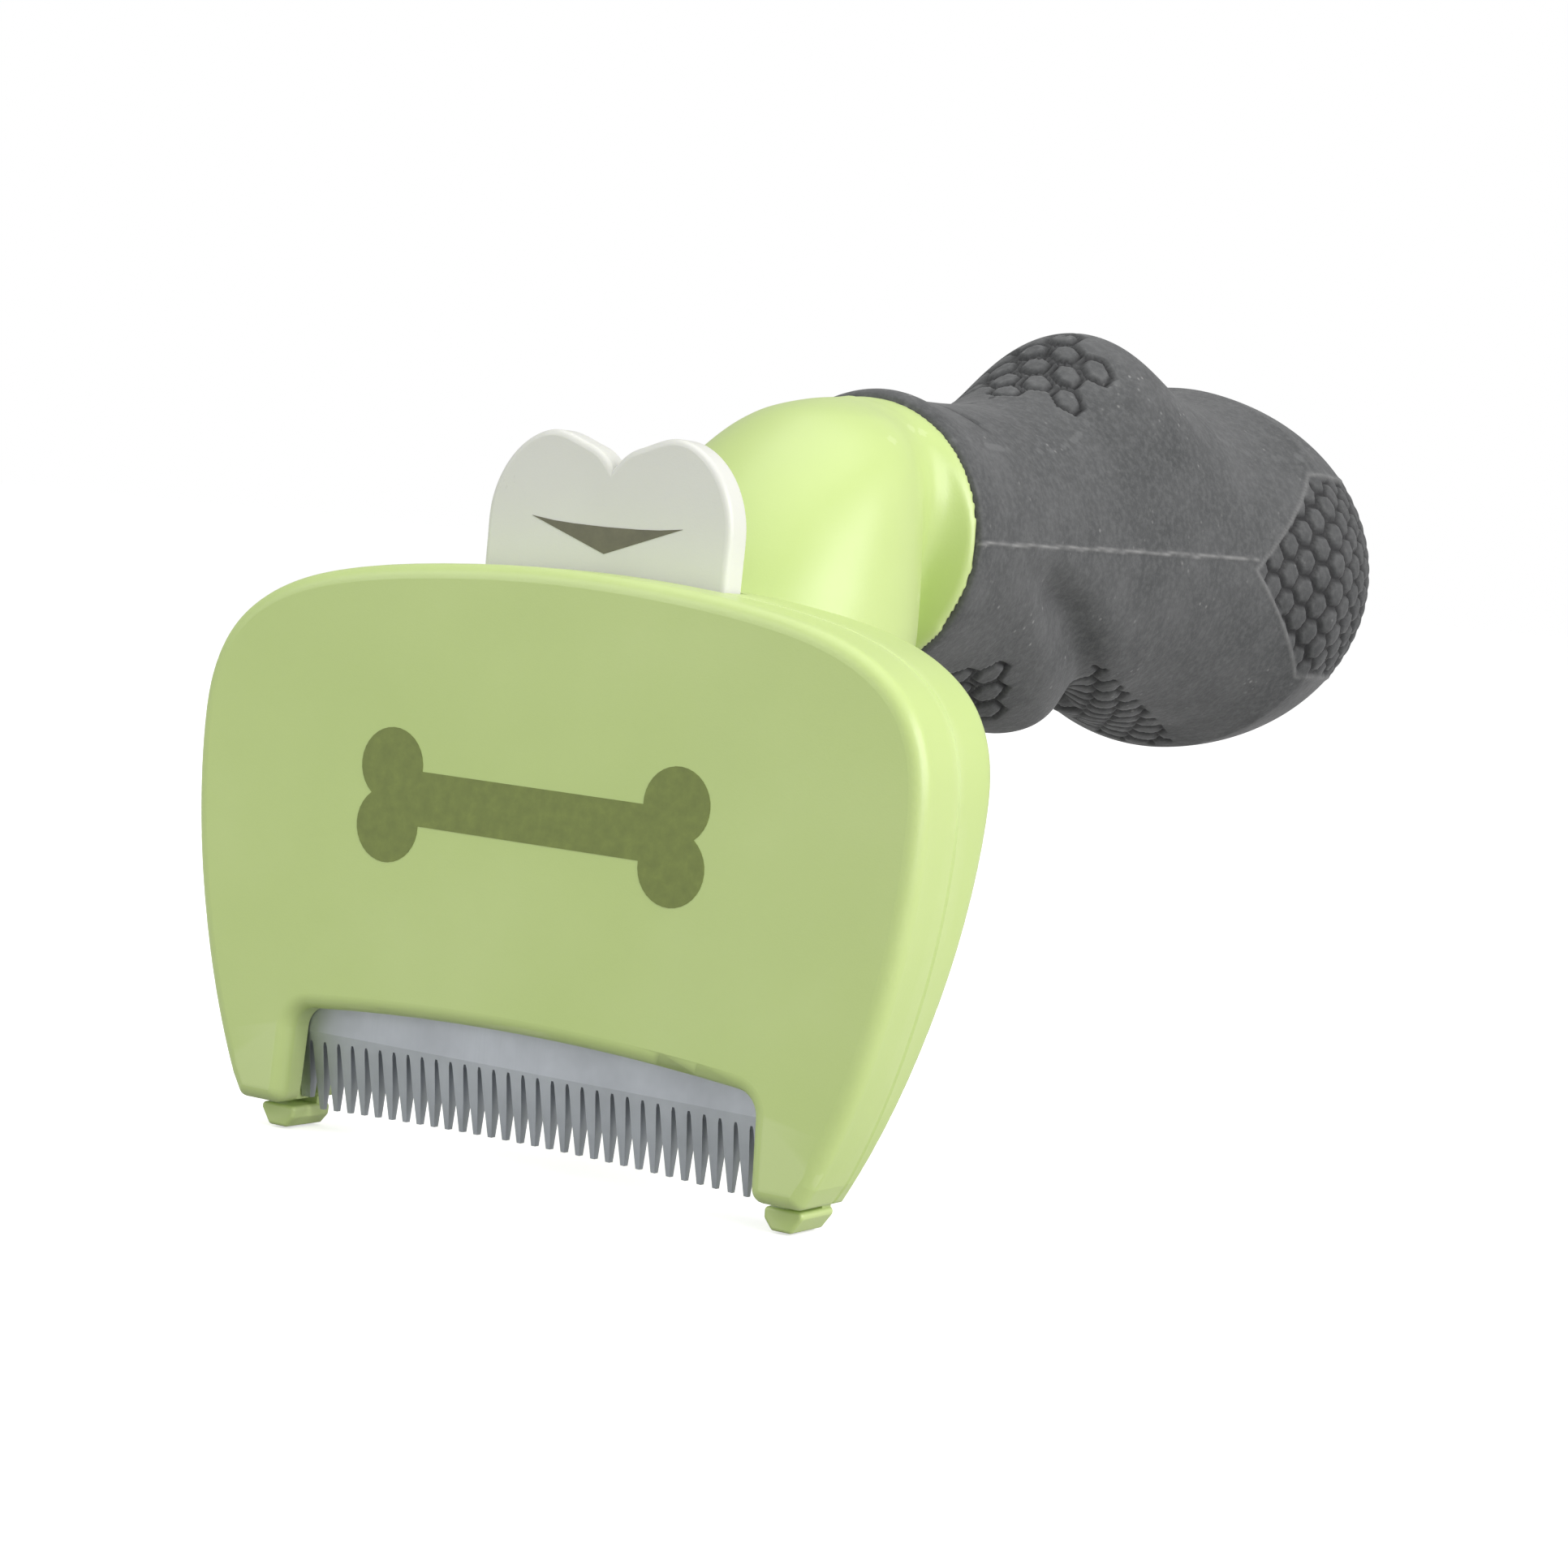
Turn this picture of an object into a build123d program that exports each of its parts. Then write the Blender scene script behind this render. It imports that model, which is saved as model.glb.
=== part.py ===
from build123d import *
import math
import os

# Hand deshedding tool for small pets: a steel comb in a two-shell plastic head, a
# spring-returned hair ejector, and a rubber-covered handle on a swept neck.
# Frame: X across the comb, -Y the way the front panel looks, +Y along the handle, +Z up
# (the comb teeth point down).  Origin: the middle of the flat front panel.  Millimetres.

os.makedirs("parts", exist_ok=True)

SIDES = (-1, 1)                            # left and right, as signs of X
OVERCUT = 1.0                              # how far most cutters run past the surface

# ---------------------------------------------------------------- head dimensions
SEAM_Y = 5.8                               # vertical joint plane between the two shells
SEAM_CHAMFER = 0.25
BACK_Y0 = 11.3                             # rear face at z = 0
BACK_SLOPE = 0.125                         # rear face leans: the head is thicker at the top
BACK_LIMIT = 14.0                          # features on the rear wall run to here, then are trimmed
WALL = 1.8                                 # shell wall
FRONT_WALL = 1.7
FRONT_EMBED = 1.0                          # cover bosses and ribs start here, in the front wall
BACK_EMBED = 0.6                           # housing features stop this far short of the rear face
FRONT_R = 1.3                              # rounding of the front panel's edges
BACK_R = 2.0                               # rounding of the rear face's edges

# right side of the head, top centre down to the leg: (x, z)
HEAD_SIDE = [(0, 22.5), (12, 21.95), (21.5, 20.7), (28.8, 18.3), (32.8, 15.0), (34.75, 10.6),
             (35.15, 6), (34.9, 0.5), (34.1, -5.5), (32.9, -11), (31.1, -17), (28.7, -22.9)]
LEG_Z = -24.7                              # bottom of the legs
LEG_IN_X, LEG_OUT_X = 23.1, 27.6           # edges of a leg at its foot
LEG_IN_R, LEG_OUT_R = 1.1, 0.7
SLOT_X = 22.7                              # half width of the comb window at its top
SLOT_Z_END, SLOT_Z_MID = -16.4, -15.2      # arched top of the comb window
SLOT_R = 2.0

INNER_END = (31.95, -14.3)                 # replaces the last two side points for the cavity
INNER_STEPS = 26
INNER_FLOOR_Z = -13.3                      # flat bottom of the cavity
INNER_CLEAR_Z = 0.6                        # wall points nearer the floor than this are left out
INNER_FLOOR_INSET = 0.25

# screw axes on the right side: (x, z)
BLADE_SCREW = (9.0, -4.5)
NECK_SCREW = (6.0, 2.2)
UP_SCREW = (27.5, 11.0)
LOW_SCREW = (26.6, -18.0)

# ---------------------------------------------------------------- comb blade dimensions
N_TEETH = 31
PITCH = 1.4586
BLADE_Y0, BLADE_T = 3.0, 2.0
BLADE_Y1 = BLADE_Y0 + BLADE_T
BLADE_HALF = 24.0
BLADE_TOP = 0.5
GULLET_Z, TIP_Z = -18.8, -24.65            # at the middle of the comb
EDGE_CURVE = -0.0013                       # drop of the tips per x squared
GULLET_CURVE = EDGE_CURVE * 0.85
ROOT_W, MID_W, TIP_W = 1.10, 0.84, 0.38    # tooth widths
ROOT_CHAMFER_Z = 0.35                      # height of the slanted gullet corners
GULLET_FLAT = 0.55                         # flat share of the gullet's width
GAP_OVERRUN = 2.0                          # gap cutters run this far below the tips
BEVEL_TOP_Z, TIP_T = -18.5, 0.2
BEVEL_END_Z = TIP_Z - 1.5

# ---------------------------------------------------------------- ejector dimensions
FRAME_Y0, FRAME_Y1 = 6.6, 7.7
FRAME_HALF, FRAME_TOP_Z0, FRAME_TOP_Z1 = 22.9, 8.0, 11.9
STRUT_X0, STRUT_X1 = 14.4, 16.2
FRAME_LOW_HALF, FRAME_LOW_Z = 21.5, -15.9
TONGUE_HALF, TONGUE_Y0, TONGUE_TOP = 5.0, 7.0, 17.0

PUSH_HALF, PUSH_Y0 = 21.4, 5.4
PUSH_Z0, PUSH_Z1 = -18.4, -12.0
PIN_XS, PIN_Z = (-18.5, 0, 18.5), -14.0
PIN_R, PIN_HOLE_R, PIN_RECESS = 0.7, 0.72, 0.02

SPRING_X, SPRING_Y, SPRING_R, SPRING_WIRE = 19.5, 7.1, 1.25, 0.5
SPRING_Z0, SPRING_Z1, SPRING_TURNS = -6.0, 8.0, 8

BUTTON_Y0, BUTTON_Y1 = 6.5, 9.2
BUTTON_BOTTOM, BUTTON_BOTTOM_X = 12.0, 11.8
# right side of the button, bottom to the dip at its top centre: (x, z)
BUTTON_SIDE = [(11.9, 24.0), (11.85, 27.2), (10.9, 30.2), (8.5, 32.9), (5.6, 33.8), (2.9, 33.0),
               (0.0, 31.0)]
BUTTON_FRONT_R, BUTTON_BACK_R = 0.55, 0.45


# ---------------------------------------------------------------- helpers
def y_back(z):
    return BACK_Y0 + BACK_SLOPE * z


def xz_extrude(face, y0, y1):
    """Extrude a face drawn in the X-Z plane from y0 to y1."""
    return extrude(Plane.XZ.offset(-y0) * face, amount=-(y1 - y0))


def yz_prism(points, half):
    """Prism on a (y, z) outline, from x = -half to +half."""
    outline = Polyline(*[(0, y, z) for y, z in points], close=True)
    return Pos(-half, 0, 0) * extrude(make_face(outline), amount=2 * half, dir=(1, 0, 0))


def box_at(x0, x1, y0, y1, z0, z1):
    """Box between limits; x0 and x1 may come in either order."""
    return Pos((x0 + x1) / 2, (y0 + y1) / 2, (z0 + z1) / 2) * Box(abs(x1 - x0), y1 - y0, z1 - z0)


def y_cyl(x, z, r, y0, y1):
    return Pos(x, (y0 + y1) / 2, z) * Rot(90, 0, 0) * Cylinder(r, y1 - y0)


def side_cyl(side, spot, r, y0, y1):
    """Cylinder along Y at an (x, z) spot given for the right side."""
    return y_cyl(side * spot[0], spot[1], r, y0, y1)


def z_cyl(x, y, r, z0, z1):
    return Pos(x, y, (z0 + z1) / 2) * Cylinder(r, z1 - z0)


def back_block(depth, far_y):
    """Block from the rear face, moved forward by depth, to the plane y = far_y."""
    reach = 60
    return yz_prism([(y_back(-reach) - depth, -reach), (y_back(reach) - depth, reach),
                     (far_y, reach), (far_y, -reach)], reach)


def behind_back(depth):
    return back_block(depth, 120)


def in_back_wall(shape):
    """Trim a housing feature so that it ends inside the rear wall."""
    return shape - behind_back(BACK_EMBED)


def both_sides(right):
    """Outline from the left end over the top centre to the right end."""
    return [(-x, z) for x, z in reversed(right[1:])] + right


def round_corners(face, x, z, radius):
    """Round the mirrored pair of corners at (+-x, z)."""
    corners = [v for v in face.vertices() if abs(abs(v.X) - x) < 0.01 and abs(v.Y - z) < 0.01]
    return fillet(corners, radius)


def chamfer_seam(shell):
    rim = []
    for edge in shell.edges():
        box = edge.bounding_box()
        if abs(box.min.Y - SEAM_Y) < 1e-3 and abs(box.max.Y - SEAM_Y) < 1e-3:
            rim.append(edge)
    return chamfer(rim, SEAM_CHAMFER)


# ---------------------------------------------------------------- shell outlines
def head_face():
    side = Spline(*both_sides(HEAD_SIDE))
    end_x, end_z = HEAD_SIDE[-1]
    leg_right = Polyline((end_x, end_z), (LEG_OUT_X, LEG_Z), (LEG_IN_X, LEG_Z),
                         (SLOT_X, SLOT_Z_END))
    arch = ThreePointArc((SLOT_X, SLOT_Z_END), (0, SLOT_Z_MID), (-SLOT_X, SLOT_Z_END))
    leg_left = Polyline((-SLOT_X, SLOT_Z_END), (-LEG_IN_X, LEG_Z), (-LEG_OUT_X, LEG_Z),
                        (-end_x, end_z))
    face = make_face([side, *leg_right.edges(), arch, *leg_left.edges()])
    face = round_corners(face, LEG_IN_X, LEG_Z, LEG_IN_R)
    face = round_corners(face, SLOT_X, SLOT_Z_END, SLOT_R)
    return round_corners(face, LEG_OUT_X, LEG_Z, LEG_OUT_R)


def inner_face(gap):
    """Cavity outline: the head outline drawn in by gap, closed flat above the comb window."""
    side = Spline(*both_sides(HEAD_SIDE[:-2] + [INNER_END]))
    points = []
    for k in range(INNER_STEPS + 1):
        p = side @ (k / INNER_STEPS)
        d = side % (k / INNER_STEPS)
        x, z = p.X + d.Y * gap, p.Y - d.X * gap
        if z > INNER_FLOOR_Z + INNER_CLEAR_Z:
            points.append((x, z))
    floor_x = abs(points[0][0]) - INNER_FLOOR_INSET
    left, right = (-floor_x, INNER_FLOOR_Z), (floor_x, INNER_FLOOR_Z)
    return make_face([Spline(left, *points, right), Line(right, left)])


HEAD = head_face()
INNER = inner_face(WALL)

# ---------------------------------------------------------------- front cover
BLADE_SIDE_GAP, BLADE_FRONT_GAP = 0.15, 0.12
BLADE_SEAT_Z0, BLADE_SEAT_Z1 = -26.0, -12.0
COVER_BOSS_R = 3.0
UP_PILOT_R, UP_PILOT_Y = 1.15, 1.6         # blind screw holes in the cover
LOW_PILOT_R, LOW_PILOT_Y = 1.05, 3.6
RIB_XS, RIB_T, RIB_Y1, RIB_Z0, RIB_Z1 = (-14, 0, 14), 1.0, 4.6, 5.0, 19.0


def make_cover():
    cover = xz_extrude(HEAD, 0, SEAM_Y)
    cover = fillet(cover.faces().sort_by(Axis.Y)[0].edges(), FRONT_R)
    cover = chamfer_seam(cover)
    open_y = SEAM_Y + OVERCUT
    cover -= xz_extrude(INNER, FRONT_WALL, open_y)
    seat_x = BLADE_HALF + BLADE_SIDE_GAP
    cover -= box_at(-seat_x, seat_x, BLADE_Y0 - BLADE_FRONT_GAP, open_y,
                    BLADE_SEAT_Z0, BLADE_SEAT_Z1)
    for side in SIDES:
        cover += side_cyl(side, UP_SCREW, COVER_BOSS_R, FRONT_EMBED, SEAM_Y)
        cover -= side_cyl(side, UP_SCREW, UP_PILOT_R, UP_PILOT_Y, open_y)
        cover -= side_cyl(side, LOW_SCREW, LOW_PILOT_R, LOW_PILOT_Y, open_y)
    for x in RIB_XS:
        cover += box_at(x - RIB_T / 2, x + RIB_T / 2, FRONT_EMBED, RIB_Y1, RIB_Z0, RIB_Z1)
    return cover


# ---------------------------------------------------------------- rear housing
# toe under the right leg: (x, z)
TOE = [(23.3, -25.15), (26.85, -25.15), (26.8, -25.7), (25.9, -27.0), (24.1, -27.0),
       (23.35, -26.1)]
TOE_Y0, TOE_Y1 = 2.6, 7.4
TOE_SIDE_R, TOE_FRONT_R = 0.35, 0.3
ANKLE_X0, ANKLE_X1, ANKLE_Z0, ANKLE_Z1 = 23.6, 26.6, -25.9, -23.5
ANKLE_SEAM_GAP = 0.25

# recess for the pusher bar: x0, x1, y0, y1, z0, z1
PUSH_RECESS = (-22.0, 22.0, SEAM_Y - OVERCUT, 7.95, -18.0, -12.0)
# button opening in the top wall, same columns
BUTTON_OPENING = (-12.2, 12.2, SEAM_Y - OVERCUT, 9.5, 14.0, 26.0)

HOUSING_BOSS_R = 3.4
RAIL_Z0, RAIL_Z1 = -6.4, -2.6              # rail between the blade bosses
SHELF_X0, SHELF_X1, SHELF_Y0, SHELF_Z0 = 16.9, 22.4, 5.3, -8.0
POST_R, POST_TOP, POST_EMBED = 0.8, -2.5, 0.5
GUIDE_X0, GUIDE_X1, GUIDE_Z0, GUIDE_Z1 = 23.15, 24.4, 0.0, 13.0

# screw holes in the housing: (axis spot, radius, y0, y1)
BLADE_HOLE = (BLADE_SCREW, 1.15, 4, 9.5)
COVER_AND_NECK_HOLES = [
    (UP_SCREW, 1.25, SEAM_Y - OVERCUT, 16),
    (UP_SCREW, 2.35, 9.0, 18),
    (LOW_SCREW, 1.15, SEAM_Y - OVERCUT, 12),
    (LOW_SCREW, 2.1, 7.5, 14),
    (NECK_SCREW, 1.35, 8, 18),
    (NECK_SCREW, 2.2, 8, 9.73),
]


def make_toe(side):
    toe_outline = Polyline(*[(side * x, z) for x, z in TOE], close=True)
    toe = xz_extrude(make_face(toe_outline), TOE_Y0, TOE_Y1)
    toe = fillet(toe.edges().filter_by(Axis.Y), TOE_SIDE_R)
    return fillet(toe.faces().sort_by(Axis.Y)[0].edges(), TOE_FRONT_R)


def make_housing():
    housing = xz_extrude(HEAD, SEAM_Y, 18) - behind_back(0)
    back = housing.faces().sort_by(Axis.Y)[-1]
    housing = fillet(back.edges().sort_by(SortBy.LENGTH)[-1:], BACK_R)
    housing = chamfer_seam(housing)
    housing -= xz_extrude(INNER, SEAM_Y - OVERCUT, 20) - behind_back(WALL)
    housing -= box_at(*PUSH_RECESS)
    for side in SIDES:
        ankle = box_at(side * ANKLE_X0, side * ANKLE_X1, SEAM_Y + ANKLE_SEAM_GAP, TOE_Y1,
                       ANKLE_Z0, ANKLE_Z1)
        housing = housing + ankle + make_toe(side)
    housing -= box_at(*BUTTON_OPENING)

    # blade bosses and the rail between them
    for side in SIDES:
        housing += in_back_wall(side_cyl(side, BLADE_SCREW, HOUSING_BOSS_R, BLADE_Y1, BACK_LIMIT))
    housing += in_back_wall(box_at(-BLADE_SCREW[0], BLADE_SCREW[0], BLADE_Y1, BACK_LIMIT,
                                   RAIL_Z0, RAIL_Z1))
    for side in SIDES:
        housing -= side_cyl(side, *BLADE_HOLE)
        # spring shelf and post
        housing += in_back_wall(box_at(side * SHELF_X0, side * SHELF_X1, SHELF_Y0, BACK_LIMIT,
                                       SHELF_Z0, SPRING_Z0))
        housing += z_cyl(side * SPRING_X, SPRING_Y, POST_R, SPRING_Z0 - POST_EMBED, POST_TOP)
        # guide beside the sliding frame
        housing += in_back_wall(box_at(side * GUIDE_X0, side * GUIDE_X1, SEAM_Y, BACK_LIMIT,
                                       GUIDE_Z0, GUIDE_Z1))
        housing += in_back_wall(side_cyl(side, UP_SCREW, HOUSING_BOSS_R, SEAM_Y, BACK_LIMIT))
        for hole in COVER_AND_NECK_HOLES:
            housing -= side_cyl(side, *hole)
    return housing


# ---------------------------------------------------------------- comb blade
END_BAR_X0, END_BAR_X1, END_BAR_Z = 22.8, 24.5, -24.4
BLADE_HOLE_R = 1.2
SIDE_HOLE, SIDE_HOLE_R = (17.5, -4.0), 1.6
BLADE_CUT_Y = (BLADE_Y0 - OVERCUT, BLADE_Y1 + OVERCUT)


def tooth_gap(i):
    """Outline of the gap right of tooth i, run on below the tips."""
    xc = (i + 0.5) * PITCH
    gullet_z = GULLET_Z + GULLET_CURVE * xc * xc
    tip_z = TIP_Z + EDGE_CURVE * xc * xc
    root, middle, tip = [(PITCH - width) / 2 for width in (ROOT_W, MID_W, TIP_W)]
    right = [(root * GULLET_FLAT, gullet_z), (root, gullet_z - ROOT_CHAMFER_Z),
             (middle, (gullet_z + tip_z) / 2), (tip, tip_z), (tip, tip_z - GAP_OVERRUN)]
    points = [(xc + dx, z) for dx, z in right] + [(xc - dx, z) for dx, z in reversed(right)]
    return make_face(Polyline(*points, close=True))


def make_blade():
    end_z = TIP_Z + EDGE_CURVE * BLADE_HALF ** 2
    left, right = (-BLADE_HALF, end_z), (BLADE_HALF, end_z)
    tip_arc = ThreePointArc(left, (0, TIP_Z), right)
    upper = Polyline(right, (BLADE_HALF, BLADE_TOP), (-BLADE_HALF, BLADE_TOP), left)
    outline = make_face([tip_arc, *upper.edges()])
    half_n = N_TEETH // 2
    for i in range(-half_n - 1, half_n + 1):
        outline -= tooth_gap(i)
    blade = xz_extrude(outline, BLADE_Y0, BLADE_Y1)
    # the front is bevelled, so the tips are thin and lie at the back
    blade -= yz_prism([(BLADE_Y0 - OVERCUT, BEVEL_TOP_Z), (BLADE_Y0, BEVEL_TOP_Z),
                       (BLADE_Y1 - TIP_T, BEVEL_END_Z), (BLADE_Y0 - OVERCUT, BEVEL_END_Z)], 30)
    for side in SIDES:
        # end bars hidden in the legs stop above the toes
        blade -= box_at(side * END_BAR_X0, side * END_BAR_X1, *BLADE_CUT_Y, -28, END_BAR_Z)
        blade -= side_cyl(side, BLADE_SCREW, BLADE_HOLE_R, *BLADE_CUT_Y)
        blade -= side_cyl(side, SIDE_HOLE, SIDE_HOLE_R, *BLADE_CUT_Y)
    return blade


# ---------------------------------------------------------------- ejector
# slot in the button for the frame's tongue: x0, x1, y0, y1, z0, z1
TONGUE_SLOT = (-5.1, 5.1, 6.95, 7.76, BUTTON_BOTTOM - OVERCUT, 17.2)
TONGUE_Z0, STRUT_TOP = 11.5, 9.0           # both ends overlap the frame's top bar
CAP_R, CAP_TOP = 1.9, 9.6                  # round seat above each spring
CAP_POST_R, CAP_POST_Z0, CAP_POST_Z1 = 0.75, 6.6, 8.5
PUSH_CHAMFER = 0.3


def button_face():
    side_x, side_z = BUTTON_SIDE[0]
    right = Spline(*BUTTON_SIDE, tangents=[(0, 1), (-0.62, -0.78)])
    left = Spline(*[(-x, z) for x, z in BUTTON_SIDE], tangents=[(0, 1), (0.62, -0.78)])
    base = Polyline((-side_x, side_z), (-BUTTON_BOTTOM_X, BUTTON_BOTTOM),
                    (BUTTON_BOTTOM_X, BUTTON_BOTTOM), (side_x, side_z))
    return make_face([right, left, *base.edges()])


def make_button():
    button = xz_extrude(button_face(), BUTTON_Y0, BUTTON_Y1)
    button = fillet(button.faces().sort_by(Axis.Y)[0].edges(), BUTTON_FRONT_R)
    button = fillet(button.faces().sort_by(Axis.Y)[-1].edges(), BUTTON_BACK_R)
    return button - box_at(*TONGUE_SLOT)


def make_frame():
    frame = box_at(-FRAME_HALF, FRAME_HALF, FRAME_Y0, FRAME_Y1, FRAME_TOP_Z0, FRAME_TOP_Z1)
    frame += box_at(-TONGUE_HALF, TONGUE_HALF, TONGUE_Y0, FRAME_Y1, TONGUE_Z0, TONGUE_TOP)
    for side in SIDES:
        frame += box_at(side * STRUT_X0, side * STRUT_X1, FRAME_Y0, FRAME_Y1,
                        FRAME_LOW_Z, STRUT_TOP)
        frame += z_cyl(side * SPRING_X, SPRING_Y, CAP_R, SPRING_Z1, CAP_TOP)
        frame += z_cyl(side * SPRING_X, SPRING_Y, CAP_POST_R, CAP_POST_Z0, CAP_POST_Z1)
    frame += box_at(-FRAME_LOW_HALF, FRAME_LOW_HALF, FRAME_Y0, FRAME_Y1, FRAME_LOW_Z, PUSH_Z1)
    for x in PIN_XS:
        frame -= y_cyl(x, PIN_Z, PIN_HOLE_R, 5, 9)
    return frame


def make_pusher():
    pusher = box_at(-PUSH_HALF, PUSH_HALF, PUSH_Y0, FRAME_Y0, PUSH_Z0, PUSH_Z1)
    pusher = chamfer(pusher.edges().filter_by(Axis.X).sort_by(Axis.Z)[:2], PUSH_CHAMFER)
    for x in PIN_XS:
        pusher -= y_cyl(x, PIN_Z, PIN_HOLE_R, 4, 9)
    return pusher


def make_pins():
    return Compound(children=[y_cyl(x, PIN_Z, PIN_R, PUSH_Y0 + PIN_RECESS, FRAME_Y1 - PIN_RECESS)
                              for x in PIN_XS])


def make_spring(x):
    height = SPRING_Z1 - SPRING_Z0 - SPRING_WIRE
    path = Helix(pitch=height / SPRING_TURNS, height=height, radius=SPRING_R)
    section = Plane(origin=path @ 0, z_dir=path % 0) * Circle(SPRING_WIRE / 2)
    coil = sweep(section, path=path, is_frenet=True)
    return Pos(x, SPRING_Y, SPRING_Z0 + SPRING_WIRE / 2) * coil


# ---------------------------------------------------------------- neck, flange and stem
AXIS_Z = 27.8                              # handle axis
FLANGE_R, FLANGE_Y0, FLANGE_Y1 = 12.5, 45.8, 47.9
NECK_OVERLAP = 0.6                         # the neck ends this far inside the flange
STEM_R0, STEM_R1, STEM_END = 7.0, 6.0, 124.0
COLLARS = [66.0, 84.0, 102.0]              # stations of the collars on the stem
COLLAR_HALF, COLLAR_RISE = 1.5, 2.0
BORE_R, BORE_Y0 = 3.6, 58
NECK_PILOT_R, NECK_PILOT_Y0, NECK_PILOT_Y1 = 1.25, 8, 19.6

# horizontal oval sections: (z, centre y, half width x, half length y)
NECK = [(-6.0, 12.0, 11.6, 5.0), (0.0, 16.3, 12.8, 9.2), (7.0, 22.4, 13.2, 13.8),
        (14.0, 28.2, 13.2, 17.0), (20.0, 32.0, 13.0, 15.9), (26.0, 34.4, 12.1, 13.7),
        (31.0, 36.5, 10.9, 11.5), (35.0, 38.8, 9.0, 9.2), (38.0, 41.2, 6.4, 6.5),
        (39.6, 43.4, 3.4, 3.6)]


def stem_solid(extra):
    """Tapered stem with collars, grown by extra all round."""
    start_y = FLANGE_Y1 - 1.0
    profile = [(0, start_y), (STEM_R0 + extra, start_y)]
    half = COLLAR_HALF + extra
    for y in COLLARS:
        r = STEM_R0 + (STEM_R1 - STEM_R0) * (y - FLANGE_Y1) / (STEM_END - FLANGE_Y1) + extra
        rim = r + COLLAR_RISE
        profile += [(r, y - half), (rim, y - half), (rim, y + half), (r, y + half)]
    profile += [(STEM_R1 + extra, STEM_END + extra), (0, STEM_END + extra)]
    face = make_face(Polyline(*[(r, y, 0) for r, y in profile], close=True))
    return Pos(0, 0, AXIS_Z) * revolve(face, Axis.Y, 360)


def make_core():
    neck = loft([Plane(origin=(0, yc, z), z_dir=(0, 0, 1), x_dir=(1, 0, 0))
                 * Ellipse(half_x, half_y).face() for z, yc, half_x, half_y in NECK])
    neck -= back_block(0, -80)
    neck -= box_at(-30, 30, FLANGE_Y1 - NECK_OVERLAP, 80, -20, 60)
    core = neck + y_cyl(0, AXIS_Z, FLANGE_R, FLANGE_Y0, FLANGE_Y1)
    core += stem_solid(0)
    core -= y_cyl(0, AXIS_Z, BORE_R, BORE_Y0, STEM_END + OVERCUT)
    for side in SIDES:
        core -= side_cyl(side, NECK_SCREW, NECK_PILOT_R, NECK_PILOT_Y0, NECK_PILOT_Y1)
    return core


# ---------------------------------------------------------------- rubber grip
# body of the grip: (y, half width, half height)
GRIP_BODY = [(48.0, 12.8, 12.85), (56.0, 12.87, 12.97), (66.0, 13.05, 13.28),
             (76.0, 13.49, 14.14), (86.0, 14.69, 15.3), (96.0, 16.21, 16.0),
             (106.0, 18.41, 17.27), (114.0, 20.8, 19.2)]
GRIP_Y, GRIP_W, GRIP_H = zip(*GRIP_BODY)
GRIP_END = 143.4                           # the rounded end closes here
# height, station, reach towards -Y and +Y, spread around the axis in radians
TOP_BUMP = dict(height=7.0, station=88.0, front=11.6, rear=12.0, spread=0.68)
LOW_BUMP = dict(height=3.8, station=76.4, front=13.4, rear=7.0, spread=0.80)
# oblique valley under the grip; angles in radians from straight down
VALLEY_DEPTH, VALLEY_Y, VALLEY_LEAN, VALLEY_HALF = 2.1, 92.0, 30.0, 5.0
VALLEY_LEAN_ANGLE, VALLEY_LEAN_MAX = 1.48, 1.1
VALLEY_FADE_END, VALLEY_FADE = 1.62, 0.47
STATIONS = [48.0, 55.0, 62.0, 69.0, 75.0, 81.0, 87.0, 93.0, 99.0, 105.0, 112.0, 119.0, 126.0,
            132.0, 137.0, 140.5, 142.6]
SECTION_POINTS = 24
GRIP_END_R = 0.3
STEM_GAP, FLANGE_GAP = 0.05, 0.03


def hermite(ys, vs, y):
    """Monotone cubic through the stations."""
    n = len(ys)
    d = [(vs[i + 1] - vs[i]) / (ys[i + 1] - ys[i]) for i in range(n - 1)]
    m = [d[0]]
    for before, after in zip(d, d[1:]):
        m.append(0 if before * after <= 0 else 2 * before * after / (before + after))
    m.append(d[-1])
    i = max(0, min(n - 2, sum(1 for v in ys if v <= y) - 1))
    h = ys[i + 1] - ys[i]
    t = (y - ys[i]) / h
    return ((2 * t ** 3 - 3 * t ** 2 + 1) * vs[i] + (t ** 3 - 2 * t ** 2 + t) * h * m[i]
            + (-2 * t ** 3 + 3 * t ** 2) * vs[i + 1] + (t ** 3 - t ** 2) * h * m[i + 1])


def bump(y, angle, height, station, front, rear, spread):
    reach = front if y < station else rear
    return height * math.exp(-((y - station) / reach) ** 2) * math.exp(-(angle / spread) ** 2)


def valley(y, angle):
    bottom_y = VALLEY_Y - VALLEY_LEAN * min(angle / VALLEY_LEAN_ANGLE, VALLEY_LEAN_MAX)
    t = min(1.0, max(0.0, (VALLEY_FADE_END - angle) / VALLEY_FADE))
    return VALLEY_DEPTH * math.exp(-((y - bottom_y) / VALLEY_HALF) ** 2) * t * t * (3 - 2 * t)


def grip_radius(y, up_angle):
    """Distance from the handle axis, up_angle measured from straight up."""
    last = GRIP_Y[-1]
    shrink = 1.0
    if y > last:
        shrink = math.sqrt(max(0.0, 1 - ((y - last) / (GRIP_END - last)) ** 2))
    half_w = hermite(GRIP_Y, GRIP_W, min(y, last)) * shrink
    half_h = hermite(GRIP_Y, GRIP_H, min(y, last)) * shrink
    down_angle = math.pi - abs(up_angle)
    oval = 1 / math.hypot(math.sin(up_angle) / half_w, math.cos(up_angle) / half_h)
    return oval + shrink * (bump(y, up_angle, **TOP_BUMP) + bump(y, down_angle, **LOW_BUMP)
                            - valley(y, down_angle))


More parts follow.
